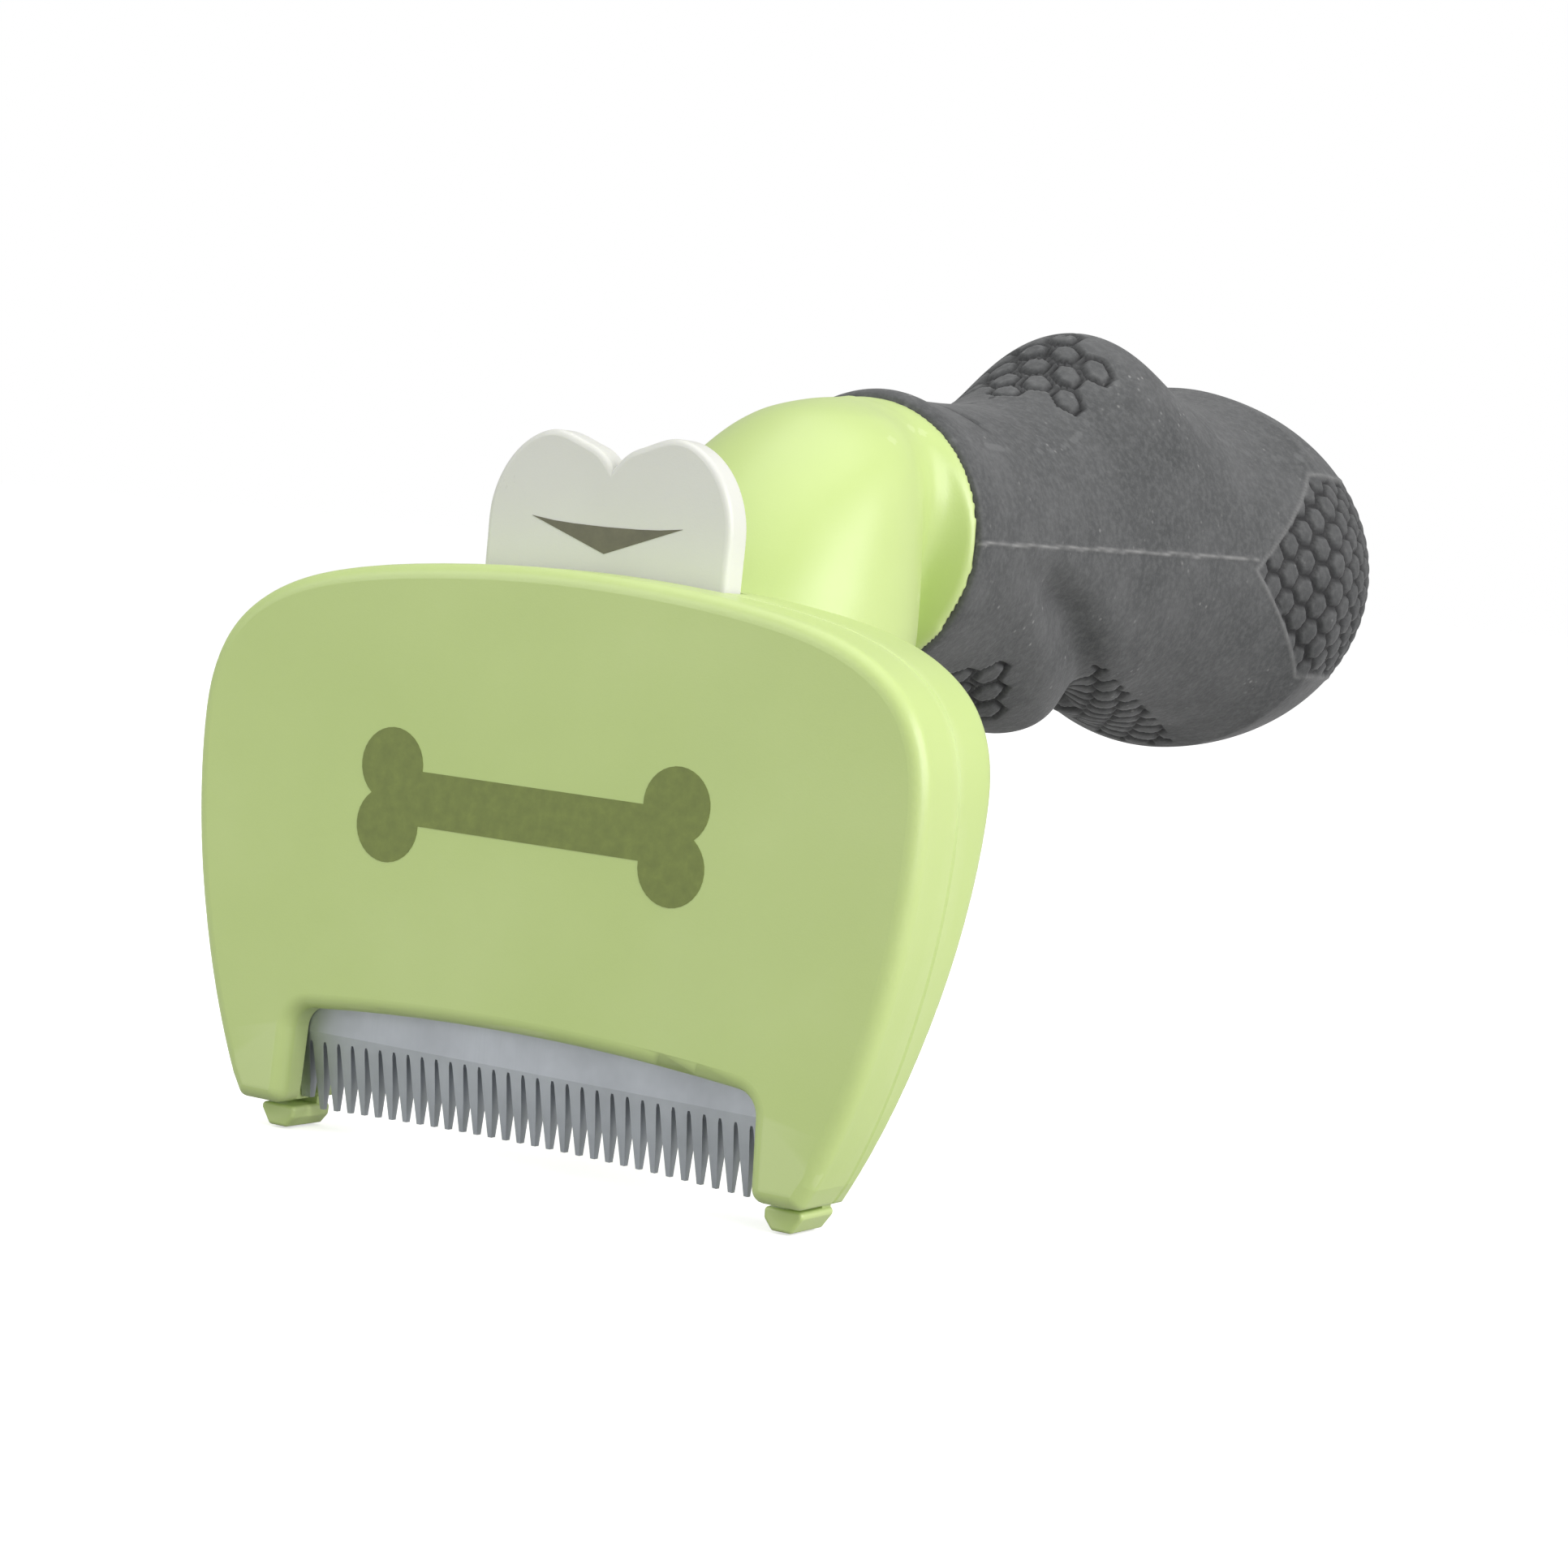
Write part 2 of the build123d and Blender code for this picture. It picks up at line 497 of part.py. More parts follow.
def grip_section(y):
    points = []
    for k in range(SECTION_POINTS):
        angle = -math.pi + 2 * math.pi * k / SECTION_POINTS
        r = grip_radius(y, angle)
        points.append((r * math.sin(angle), y, AXIS_Z + r * math.cos(angle)))
    return Face(Wire(Spline(*points, periodic=True).edges()))


def make_grip():
    grip = loft([grip_section(y) for y in STATIONS])
    grip = fillet(grip.faces().sort_by(Axis.Y)[-1].edges(), GRIP_END_R)
    grip -= stem_solid(STEM_GAP) & box_at(-30, 30, 40, 160, -20, 80)
    grip -= box_at(-30, 30, 40, FLANGE_Y1 + FLANGE_GAP, -20, 80)
    return grip


# ---------------------------------------------------------------- screws
CROSS_DEPTH, CROSS_HALF, CROSS_REACH = 0.55, 0.25, 0.55   # reach is a share of the head radius
# file name: (axis spot, head radius, head y0, head y1, shank radius, tip y)
SCREWS = {
    "blade_screws": (BLADE_SCREW, 2.0, 2.2, BLADE_Y0 - 0.01, 1.08, 9.2),
    "neck_screws": (NECK_SCREW, 2.1, 8.35, 9.72, 1.2, 19.2),
    "upper_cover_screws": (UP_SCREW, 2.2, 9.02, 10.6, 1.1, 2.4),
    "lower_cover_screws": (LOW_SCREW, 1.95, 7.52, 8.7, 1.0, 4.0),
}


def screw(x, z, head_r, head_y0, head_y1, shank_r, tip_y):
    """Pan-head screw along Y; the head's flat side faces the shank."""
    overlap = 0.1
    if tip_y > head_y1:
        head_end, tip_end = 0, -1
        shank = (head_y1 - overlap, tip_y)
        cut = (head_y0 - OVERCUT, head_y0 + CROSS_DEPTH)
    else:
        head_end, tip_end = -1, 0
        shank = (tip_y, head_y0 + overlap)
        cut = (head_y1 - CROSS_DEPTH, head_y1 + OVERCUT)
    body = y_cyl(x, z, head_r, head_y0, head_y1)
    edge = body.faces().sort_by(Axis.Y)[head_end].edges()
    body = fillet(edge, min(0.4, (head_y1 - head_y0) * 0.4))
    body += y_cyl(x, z, shank_r, *shank)
    body = chamfer(body.faces().sort_by(Axis.Y)[tip_end].edges(), shank_r * 0.5)
    reach = head_r * CROSS_REACH
    body -= box_at(x - reach, x + reach, *cut, z - CROSS_HALF, z + CROSS_HALF)
    body -= box_at(x - CROSS_HALF, x + CROSS_HALF, *cut, z - reach, z + reach)
    return body


def screw_pair(spot, *sizes):
    return Compound(children=[screw(side * spot[0], spot[1], *sizes) for side in SIDES])


# ---------------------------------------------------------------- write the pieces
PARTS = {
    "front_cover": make_cover(),
    "rear_housing": make_housing(),
    "comb_blade": make_blade(),
    "ejector_button": make_button(),
    "ejector_frame": make_frame(),
    "pusher_bar": make_pusher(),
    "pusher_pins": make_pins(),
    "return_spring_left": make_spring(-SPRING_X),
    "return_spring_right": make_spring(SPRING_X),
    "handle_core": make_core(),
    "rubber_grip": make_grip(),
}
for name, row in SCREWS.items():
    PARTS[name] = screw_pair(*row)
for name, shape in PARTS.items():
    export_step(shape, f"parts/{name}.step")
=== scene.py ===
"""Hand tool with a steel comb: a head with an ejector button, a neck and a rubber-covered handle.

The head's flat front face lies on y = 0 and looks along -Y. The handle runs back along +Y,
with its axis at height AXIS_Z. X goes across the tool and Z is up. Shapes are worked out in
millimetres and scaled by MM to metres. Angles around the handle start at the top (+Z), and
grow towards +X.
"""
import bpy
import bmesh
import math
import numpy as np
from itertools import product
from mathutils import Matrix, Vector
from mathutils.geometry import delaunay_2d_cdt


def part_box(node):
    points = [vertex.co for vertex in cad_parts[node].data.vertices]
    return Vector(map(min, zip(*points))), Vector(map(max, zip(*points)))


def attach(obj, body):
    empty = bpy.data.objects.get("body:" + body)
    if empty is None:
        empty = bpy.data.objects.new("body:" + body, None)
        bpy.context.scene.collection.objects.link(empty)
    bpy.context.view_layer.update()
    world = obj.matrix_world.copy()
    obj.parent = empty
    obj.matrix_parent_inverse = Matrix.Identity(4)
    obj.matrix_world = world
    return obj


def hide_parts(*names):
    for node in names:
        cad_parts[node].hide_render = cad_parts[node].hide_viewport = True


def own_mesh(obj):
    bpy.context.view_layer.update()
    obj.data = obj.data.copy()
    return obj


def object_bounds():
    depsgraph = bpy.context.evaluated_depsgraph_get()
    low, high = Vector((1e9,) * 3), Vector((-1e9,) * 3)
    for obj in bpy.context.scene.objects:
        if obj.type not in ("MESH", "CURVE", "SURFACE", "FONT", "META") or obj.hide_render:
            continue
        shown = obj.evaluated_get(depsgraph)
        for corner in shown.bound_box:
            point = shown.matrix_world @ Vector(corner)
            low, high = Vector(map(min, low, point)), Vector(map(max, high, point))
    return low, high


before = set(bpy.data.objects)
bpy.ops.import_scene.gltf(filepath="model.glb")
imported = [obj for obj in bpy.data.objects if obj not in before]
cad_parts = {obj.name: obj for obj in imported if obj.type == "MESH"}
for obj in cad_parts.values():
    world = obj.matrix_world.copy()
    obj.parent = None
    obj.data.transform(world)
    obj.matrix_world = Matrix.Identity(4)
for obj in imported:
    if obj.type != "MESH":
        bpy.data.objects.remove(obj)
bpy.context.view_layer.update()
MM = 0.001
AXIS_Z = 27.8

# ------------------------------------------------------------------ maths helpers


def smoothstep(start, end, x):
    """0 at start, 1 at end; start may be the larger."""
    t = np.clip((x - start) / (end - start), 0.0, 1.0)
    return t * t * (3 - 2 * t)


def bell(x, centre, width):
    return np.exp(-((x - centre) / width) ** 2)


def running_sum(steps):
    return np.concatenate([[0], np.cumsum(steps)])


def spline(table, column, x):
    """Monotone cubic through table[:, column] over the stations in table[:, 0]."""
    stations, values = table[:, 0], table[:, column]
    slopes = np.diff(values) / np.diff(stations)
    tangents = np.zeros_like(values)
    tangents[0], tangents[-1] = slopes[0], slopes[-1]
    for i in range(1, len(values) - 1):
        before, after = slopes[i - 1], slopes[i]
        tangents[i] = 0 if before * after <= 0 else 2 * before * after / (before + after)
    x = np.clip(x, stations[0], stations[-1])
    i = np.clip(np.searchsorted(stations, x, side="right") - 1, 0, len(stations) - 2)
    gap = stations[i + 1] - stations[i]
    t = (x - stations[i]) / gap
    return ((2 * t ** 3 - 3 * t ** 2 + 1) * values[i]
            + (t ** 3 - 2 * t ** 2 + t) * gap * tangents[i]
            + (-2 * t ** 3 + 3 * t ** 2) * values[i + 1]
            + (t ** 3 - t ** 2) * gap * tangents[i + 1])


# ------------------------------------------------------------------ mesh helpers
def raw_mesh(name, verts, faces):
    """Mesh from vertices in mm."""
    mesh = bpy.data.meshes.new(name)
    mesh.from_pydata((np.asarray(verts) * MM).tolist(), [], faces)
    mesh.update()
    return mesh


def face_outward(mesh):
    bm = bmesh.new()
    bm.from_mesh(mesh)
    bmesh.ops.recalc_face_normals(bm, faces=bm.faces)
    bm.to_mesh(mesh)
    bm.free()


def shade_smooth(mesh):
    mesh.polygons.foreach_set("use_smooth", np.full(len(mesh.polygons), True, bool))


def link_object(name, data):
    ob = bpy.data.objects.new(name, data)
    bpy.context.scene.collection.objects.link(ob)
    return ob


def set_material(ob, material):
    ob.data.materials.clear()
    ob.data.materials.append(material)


def fit(ob, material, rides="head", node=None):
    """Give a piece its material and tell the frame what it replaces and moves with."""
    set_material(ob, material)
    if node:
        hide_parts(node)
    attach(ob, rides)


def ring_quads(lower, upper):
    """Quads between closed rings of vertex indices."""
    quads = [lower, np.roll(lower, -1, -1), np.roll(upper, -1, -1), upper]
    return np.stack(quads, -1).reshape(-1, 4)


# ------------------------------------------------------------------ materials
class Shader:
    """Short way to write a node tree around one Principled BSDF."""

    def __init__(self, name):
        self.mat = bpy.data.materials.new(name)
        self.mat.use_nodes = True
        self.tree = self.mat.node_tree
        self.tree.nodes.clear()
        self.out = self.add("OutputMaterial")
        self.bsdf = self.add("BsdfPrincipled")
        self.link(self.bsdf.outputs[0], self.out.inputs[0])
        self.place = self.add("TexCoord").outputs["Object"]

    def add(self, kind):
        return self.tree.nodes.new("ShaderNode" + kind)

    def link(self, source, target):
        self.tree.links.new(source, target)

    def feed(self, socket, value):
        """Link a socket or set a plain value."""
        if isinstance(value, bpy.types.NodeSocket):
            self.link(value, socket)
        else:
            socket.default_value = value

    def set(self, name, value):
        self.feed(self.bsdf.inputs[name], value)

    def noise(self, scale, detail, rough, vector=None):
        node = self.add("TexNoise")
        node.inputs["Scale"].default_value = scale
        node.inputs["Detail"].default_value = detail
        node.inputs["Roughness"].default_value = rough
        self.link(vector or self.place, node.inputs["Vector"])
        return node.outputs[0]

    def voronoi(self, scale):
        node = self.add("TexVoronoi")
        node.inputs["Scale"].default_value = scale
        self.link(self.place, node.inputs["Vector"])
        return node.outputs["Distance"]

    def mapping(self, scale):
        node = self.add("Mapping")
        node.inputs["Scale"].default_value = scale
        self.link(self.place, node.inputs["Vector"])
        return node.outputs[0]

    def ramp(self, factor, stops):
        """stops: (position, rgb) pairs."""
        node = self.add("ValToRGB")
        elements = node.color_ramp.elements
        while len(elements) < len(stops):
            elements.new(0.5)
        for element, (position, rgb) in zip(elements, stops):
            element.position = position
            element.color = (*rgb, 1)
        self.link(factor, node.inputs[0])
        return node.outputs[0]

    def remap(self, value, over, to):
        """Map the range over=(a, b) onto to=(c, d)."""
        node = self.add("MapRange")
        self.link(value, node.inputs[0])
        for i, limit in enumerate((*over, *to), 1):
            node.inputs[i].default_value = limit
        return node.outputs[0]

    def math(self, operation, first, second):
        node = self.add("Math")
        node.operation = operation
        self.feed(node.inputs[0], first)
        self.feed(node.inputs[1], second)
        return node.outputs[0]

    def mix(self, factor, first, second):
        node = self.add("Mix")
        node.data_type = "RGBA"
        self.feed(node.inputs[0], factor)
        self.feed(node.inputs[6], first)
        self.feed(node.inputs[7], second)
        return node.outputs[2]

    def bump(self, height, distance, strength, normal=None):
        node = self.add("Bump")
        node.inputs["Strength"].default_value = strength
        node.inputs["Distance"].default_value = distance
        self.link(height, node.inputs["Height"])
        if normal is not None:
            self.link(normal, node.inputs["Normal"])
        return node.outputs[0]

    def pointiness(self):
        return self.add("NewGeometry").outputs["Pointiness"]


def moulded_plastic(name, dark, mid, light, rough, sss, edge=None, spec=0.5):
    """Injection-moulded plastic: faint flow mottling, fine spark texture and soft sheen."""
    n = Shader(name)
    cloud = n.noise(scale=38.0, detail=3.0, rough=0.5)
    colour = n.ramp(cloud, [(0.30, dark), (0.52, mid), (0.72, light)])
    specks = n.noise(scale=2600.0, detail=2.0, rough=0.6)
    colour = n.mix(n.remap(specks, over=(0.35, 0.65), to=(0.0, 0.05)), colour, (*light, 1))
    if edge:
        # painted highlight: convex edges (high pointiness) lighter, towards the edge colour
        edge_highlight = n.remap(n.pointiness(), over=(0.505, 0.56), to=(0.0, 0.35))
        colour = n.mix(edge_highlight, colour, (*edge, 1))
    n.set("Base Color", colour)
    smears = n.remap(n.noise(scale=140.0, detail=5.0, rough=0.6),
                     over=(0.3, 0.7), to=(rough - 0.04, rough + 0.05))
    grit = n.remap(specks, over=(0.3, 0.7), to=(-0.02, 0.03))
    n.set("Roughness", n.math("ADD", smears, grit))
    n.set("Specular IOR Level", spec)
    spark = n.bump(n.noise(scale=5200.0, detail=2.0, rough=0.5), distance=0.000012, strength=0.55)
    n.set("Normal", n.bump(n.noise(scale=90.0, detail=2.0, rough=0.5),
                           distance=0.00006, strength=0.35, normal=spark))
    n.set("Subsurface Weight", sss)
    n.set("Subsurface Radius", (0.002, 0.0022, 0.0008))
    n.set("Subsurface Scale", 0.6)
    return n.mat


def rubber(name):
    """Soft rubber: dark grey, blotchy matt sheen, fine erosion texture, small pale scuffs."""
    n = Shader(name)
    blotches = n.noise(scale=120.0, detail=6.0, rough=0.62)
    colour = n.ramp(blotches, [(0.30, (0.054, 0.057, 0.058)), (0.5, (0.074, 0.077, 0.078)),
                               (0.70, (0.100, 0.103, 0.104))])
    fine = n.noise(scale=1500.0, detail=3.0, rough=0.65)
    colour = n.mix(n.remap(fine, over=(0.42, 0.68), to=(0.0, 0.38)), colour,
                   (0.165, 0.170, 0.170, 1))
    # scuffs: voronoi dots, let through in patches
    fleck = n.remap(n.voronoi(scale=900.0), over=(0.06, 0.22), to=(1.0, 0.0))
    gate = n.remap(n.noise(scale=210.0, detail=3.0, rough=0.6), over=(0.54, 0.64), to=(0.0, 1.0))
    scuff = n.math("MULTIPLY", n.math("MULTIPLY", fleck, gate), 0.55)
    colour = n.mix(scuff, colour, (0.38, 0.38, 0.37, 1))
    # painted shade: hollows (low pointiness) darker
    hollow_shade = n.remap(n.pointiness(), over=(0.44, 0.495), to=(0.6, 0.0))
    colour = n.mix(hollow_shade, colour, (0.020, 0.021, 0.022, 1))
    # relief attribute: red is painted shade in the grooves, recesses and creases, green is a
    # painted highlight on raised rims and the flash line
    relief = n.add("Attribute")
    relief.attribute_name = "relief"
    channels = n.add("SeparateColor")
    n.link(relief.outputs["Color"], channels.inputs[0])
    painted_shade = n.math("MULTIPLY", channels.outputs[0], 0.85)
    colour = n.mix(painted_shade, colour, (0.012, 0.012, 0.013, 1))
    # painted highlight on raised rims and the flash line
    ridge_highlight = n.math("MULTIPLY", channels.outputs[1], 0.75)
    colour = n.mix(ridge_highlight, colour, (0.42, 0.42, 0.41, 1))
    # painted highlight: convex edges (high pointiness) lighter
    lip = n.remap(n.pointiness(), over=(0.515, 0.60), to=(0.0, 0.35))
    colour = n.mix(lip, colour, (0.17, 0.175, 0.175, 1))
    n.set("Base Color", colour)
    n.set("Roughness", n.remap(n.noise(scale=300.0, detail=5.0, rough=0.6),
                               over=(0.3, 0.7), to=(0.50, 0.68)))
    n.set("Specular IOR Level", 0.30)
    n.set("Sheen Weight", 0.10)
    n.set("Sheen Roughness", 0.5)
    erosion = n.bump(n.noise(scale=1900.0, detail=4.0, rough=0.65), distance=0.00007, strength=0.9)
    n.set("Normal", n.bump(n.noise(scale=420.0, detail=3.0, rough=0.55),
                           distance=0.00008, strength=0.35, normal=erosion))
    return n.mat


def steel(name, base, rough, grain, strength=0.6, spots=False):
    """Steel with fine lines and faint staining; grain is the line noise's scale on x, y, z."""
    n = Shader(name)
    lines = n.noise(scale=1.0, detail=3.0, rough=0.6, vector=n.mapping(grain))
    stain = n.noise(scale=110.0, detail=4.0, rough=0.6)
    dark = tuple(c * 0.80 for c in base)
    light = tuple(min(1, c * 1.14) for c in base)
    colour = n.ramp(stain, [(0.3, dark), (0.55, base), (0.75, light)])
    colour = n.mix(n.remap(lines, over=(0.35, 0.65), to=(0.0, 0.22)), colour, (*light, 1))
    if spots:
        dots = n.voronoi(scale=230.0)
        gate = n.remap(n.noise(scale=260.0, detail=1.0, rough=0.5),
                       over=(0.62, 0.70), to=(0.0, 1.0))
        spot = n.math("MULTIPLY", n.remap(dots, over=(0.02, 0.09), to=(0.8, 0.0)), gate)
        colour = n.mix(spot, colour, (0.06, 0.06, 0.065, 1))
    n.set("Base Color", colour)
    n.set("Metallic", 1.0)
    n.set("Roughness", n.remap(lines, over=(0.3, 0.7), to=(rough - 0.06, rough + 0.08)))
    n.set("Normal", n.bump(lines, distance=0.00001, strength=strength))
    return n.mat


def ink(name, base):
    """Pad-printed ink: slightly uneven film over the plastic."""
    n = Shader(name)
    film = n.noise(scale=900.0, detail=4.0, rough=0.6)
    thin = tuple(c * 0.86 for c in base)
    thick = tuple(min(1, c * 1.18) for c in base)
    n.set("Base Color", n.ramp(film, [(0.3, thin), (0.55, base), (0.8, thick)]))
    n.set("Roughness", n.remap(film, over=(0.3, 0.7), to=(0.42, 0.55)))
    n.set("Normal", n.bump(film, distance=0.000008, strength=0.5))
    return n.mat


# edge is the colour of the painted highlight on convex edges
GREEN = moulded_plastic(
    "green_plastic_moulded", dark=(0.530, 0.672, 0.232), mid=(0.560, 0.702, 0.252),
    light=(0.595, 0.730, 0.285), rough=0.35, sss=0.06, edge=(0.70, 0.81, 0.42), spec=0.72)
WHITE = moulded_plastic(
    "white_plastic_moulded", dark=(0.715, 0.725, 0.665), mid=(0.750, 0.760, 0.705),
    light=(0.790, 0.800, 0.755), rough=0.32, sss=0.05)
RUBBER = rubber("grey_rubber_overmould")
BLADE = steel("comb_steel_ground", base=(0.465, 0.49, 0.53), rough=0.48,
              grain=(9000, 2500, 260), strength=0.5, spots=True)
SPRING = steel("spring_wire_steel", base=(0.55, 0.55, 0.56), rough=0.28, grain=(900, 900, 5000))
ZINC = steel("zinc_screw_steel", base=(0.50, 0.50, 0.53), rough=0.33, grain=(2500, 2500, 2500))
OLIVE = ink("olive_print_ink", base=(0.205, 0.255, 0.062))
GREY_INK = ink("grey_print_ink", base=(0.155, 0.150, 0.100))

NODE_MATERIALS = {
    "front_cover": GREEN, "rear_housing": GREEN, "handle_core": GREEN,
    "rubber_grip": RUBBER, "comb_blade": BLADE,
    "ejector_button": WHITE, "ejector_frame": WHITE, "pusher_bar": WHITE, "pusher_pins": WHITE,
    "return_spring_left": SPRING, "return_spring_right": SPRING,
    "blade_screws": ZINC, "neck_screws": ZINC,
    "upper_cover_screws": ZINC, "lower_cover_screws": ZINC,
}
for node_name, node_material in NODE_MATERIALS.items():
    set_material(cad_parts[node_name], node_material)

# ------------------------------------------------------------------ stem inside the grip
FLANGE_BACK = 47.9                       # y of the flange's rear face, where the stem starts
STEM_R0, STEM_R1, STEM_END = 7.0, 6.0, 124.0
COLLARS = (66.0, 84.0, 102.0)            # y of the collars' middles
COLLAR_HALF, COLLAR_RISE = 1.5, 2.0
STEM_GAP = 0.05                          # between the stem and its bore


def stem_radius(y):
    share = np.clip((y - FLANGE_BACK) / (STEM_END - FLANGE_BACK), 0, 1)
    return STEM_R0 + (STEM_R1 - STEM_R0) * share


def bore_profile():
    """Points (y, radius) of the bore: the stem and its collars, a gap larger all round."""
    points = [(GRIP_START, STEM_R0 + STEM_GAP)]
    for collar in COLLARS:
        radius = stem_radius(collar) + STEM_GAP
        front = collar - COLLAR_HALF - STEM_GAP
        back = collar + COLLAR_HALF + STEM_GAP
        points += [(front, radius), (front, radius + COLLAR_RISE),
                   (back, radius + COLLAR_RISE), (back, radius)]
    points.append((STEM_END + STEM_GAP, STEM_R1 + STEM_GAP))
    return points


# ------------------------------------------------------------------ rubber grip: form
# y, half width, half height
GRIP = np.array([
    (48.0, 12.8, 12.85), (56.0, 12.87, 12.97), (66.0, 13.05, 13.28), (76.0, 13.49, 14.14),
    (86.0, 14.69, 15.3), (96.0, 16.21, 16.0), (106.0, 18.41, 17.27), (114.0, 20.8, 19.2)])
GRIP_START, GRIP_END = FLANGE_BACK + STEM_GAP, 142.9
# front and rear: fall-off lengths along y; spread: fall-off angle
TOP_BUMP = dict(height=7.0, centre=88.0, front=11.6, rear=12.0, spread=0.68)
LOW_BUMP = dict(height=3.8, centre=76.4, front=13.4, rear=7.0, spread=0.80)
VALLEY_DEPTH, VALLEY_Y, VALLEY_LEAN, VALLEY_WIDTH = 2.1, 92.0, 30.0, 5.0
OUTLINE_Y = 110.0                        # centre for angles on the level outline
GRIP_NOMINAL_R = 18.5                    # sets the number of points around


def bump_rise(y, angle, height, centre, front, rear, spread):
    fall = np.where(y < centre, front, rear)
    return height * bell(y, centre, fall) * bell(angle, 0, spread)


def grip_radius(y, angle):
    last = GRIP[-1, 0]
    rounding = np.sqrt(np.maximum(0.0, 1 - ((y - last) / (GRIP_END - last)) ** 2))
    closing = np.where(y <= last, 1.0, rounding)
    half_width = np.maximum(spline(GRIP, 1, y) * closing, 1e-4)
    half_height = np.maximum(spline(GRIP, 2, y) * closing, 1e-4)
    radius = 1 / np.hypot(np.sin(angle) / half_width, np.cos(angle) / half_height)
    from_below = np.pi - np.abs(angle)
    radius = radius + closing * bump_rise(y, angle, **TOP_BUMP)
    radius = radius + closing * bump_rise(y, from_below, **LOW_BUMP)
    # oblique valley behind the lower bump, on the lower half only
    valley_y = VALLEY_Y - VALLEY_LEAN * np.clip(from_below / 1.48, 0, 1.1)
    valley = VALLEY_DEPTH * bell(y, valley_y, VALLEY_WIDTH)
    return radius - closing * valley * smoothstep(1.62, 1.15, from_below)


def level_outline():
    """Angles from the rear end about (0, OUTLINE_Y), and the outline's length up to each."""
    angles = np.linspace(0, math.radians(170), 700)
    points = []
    for angle in angles:
        low, high = 0.0, 40.0
        for _ in range(36):
            reach = (low + high) / 2
            x, y = reach * math.sin(angle), OUTLINE_Y + reach * math.cos(angle)
            inside = y < GRIP_END and x < float(grip_radius(np.array(y), np.array(math.pi / 2)))
            low, high = (reach, high) if inside else (low, reach)
        points.append((low * math.sin(angle), OUTLINE_Y + low * math.cos(angle)))
    return angles, running_sum(np.hypot(*np.diff(np.array(points), axis=0).T))


# ------------------------------------------------------------------ rubber grip: relief
# Each relief function returns height in mm along the normal, painted shade 0-1 and painted
# highlight 0-1.
OUTLINE_ANGLES, OUTLINE_LENGTHS = level_outline()
PALM_CORNER = (17.2, 100.4)              # x, y of the palm patch's front end
PALM_END = float(np.interp(math.atan2(PALM_CORNER[0], PALM_CORNER[1] - OUTLINE_Y),
                           OUTLINE_ANGLES, OUTLINE_LENGTHS))
PALM_Z, PALM_R = 28.4, 19.6              # middle height and upright radius of the rear end
LOWER_START, LOWER_END = 80.0, 113.0     # y of the lower patch
PATCH_EDGE = 0.3                         # width over which a patch sinks in


def hex_cells(along, around, pitch):
    """Distance to the nearest side of the hexagonal cell, and the cell's centre."""
    row = pitch * math.sqrt(3)
    best = np.full(around.shape, 1e9)
    centre_around = np.zeros_like(around)
    centre_along = np.zeros_like(along)
    for shift_around, shift_along in ((0, 0), (pitch / 2, row / 2)):
        try_around = np.round((around - shift_around) / pitch) * pitch + shift_around
        try_along = np.round((along - shift_along) / row) * row + shift_along
        gap = (around - try_around) ** 2 + (along - try_along) ** 2
        nearer = gap < best
        best = np.where(nearer, gap, best)
        centre_around = np.where(nearer, try_around, centre_around)
        centre_along = np.where(nearer, try_along, centre_along)
    x, y = around - centre_around, along - centre_along
    half, lean = x * 0.5, y * math.sqrt(3) / 2
    reach = np.maximum.reduce([np.abs(x), np.abs(half + lean), np.abs(half - lean)])
    return pitch / 2 - reach, centre_along, centre_around


def hex_region(along, around, half_length, half_height, cut):
    """Depth inside a long hexagon whose sloped ends have length cut along it."""
    slope = (half_length - np.abs(along)) * half_height - np.abs(around) * cut
    return np.minimum(half_height - np.abs(around), slope / math.hypot(cut, half_height))


def pillow_cells(edge, depth, flank, crown, crown_end, sink):
    """Pillow height: a steep flank and a soft crown, in a recess of depth sink."""
    cell = flank * smoothstep(0.02, 0.55, edge) + crown * smoothstep(0.5, crown_end, edge)
    return (cell - sink) * smoothstep(0.0, PATCH_EDGE, depth)


def engraved_cells(along, around, angle, pitch, region, max_angle, line, width):
    """Groove strength 0-1 of whole hexagons whose centres lie in the region."""
    edge, centre_along, centre_around = hex_cells(along, around, pitch)
    inside = (hex_region(centre_along, centre_around, *region) > 0) & (np.abs(angle) < max_angle)
    return np.where(inside, bell(edge, line, width), 0)


def length_from(points, y, station):
    """Surface length along the handle, measured from a station in y."""
    steps = np.cumsum(np.linalg.norm(np.diff(points, axis=0), axis=-1), axis=0)
    run = np.concatenate([np.zeros((1,) + y.shape[1:]), steps])
    return run - run[int(np.argmin(np.abs(y[:, 0] - station)))]


def outline_place(points):
    """Signed length from the rear end along the level outline."""
    turn = np.arctan2(np.abs(points[..., 0]), points[..., 1] - OUTLINE_Y)
    return np.interp(turn, OUTLINE_ANGLES, OUTLINE_LENGTHS) * np.sign(points[..., 0])


def palm_patch(points):
    """Pillow cells in a shallow recess, wrapping the rear end from side to side."""
    along = outline_place(points)
    around = PALM_R * np.arcsin(np.clip((points[..., 2] - PALM_Z) / PALM_R, -1, 1))
    depth = hex_region(along, around, PALM_END, 10.9, 13.0)
    edge, _, _ = hex_cells(along, around, 3.05)
    height = pillow_cells(edge, depth, flank=0.55, crown=0.12, crown_end=1.4, sink=0.60)
    rim = np.where(depth > 0, 0, 0.12 * bell(depth, -0.28, 0.28))
    # painted shade: darkest in the grooves between the cells, the whole recess a little darker
    painted_shade = (np.maximum(0.22, 1 - smoothstep(0.08, 0.62, edge))
             * smoothstep(0.0, PATCH_EDGE, depth))
    # painted highlight on the raised rim round the recess
    return height + rim, painted_shade, 0.32 * bell(depth, -0.25, 0.20)


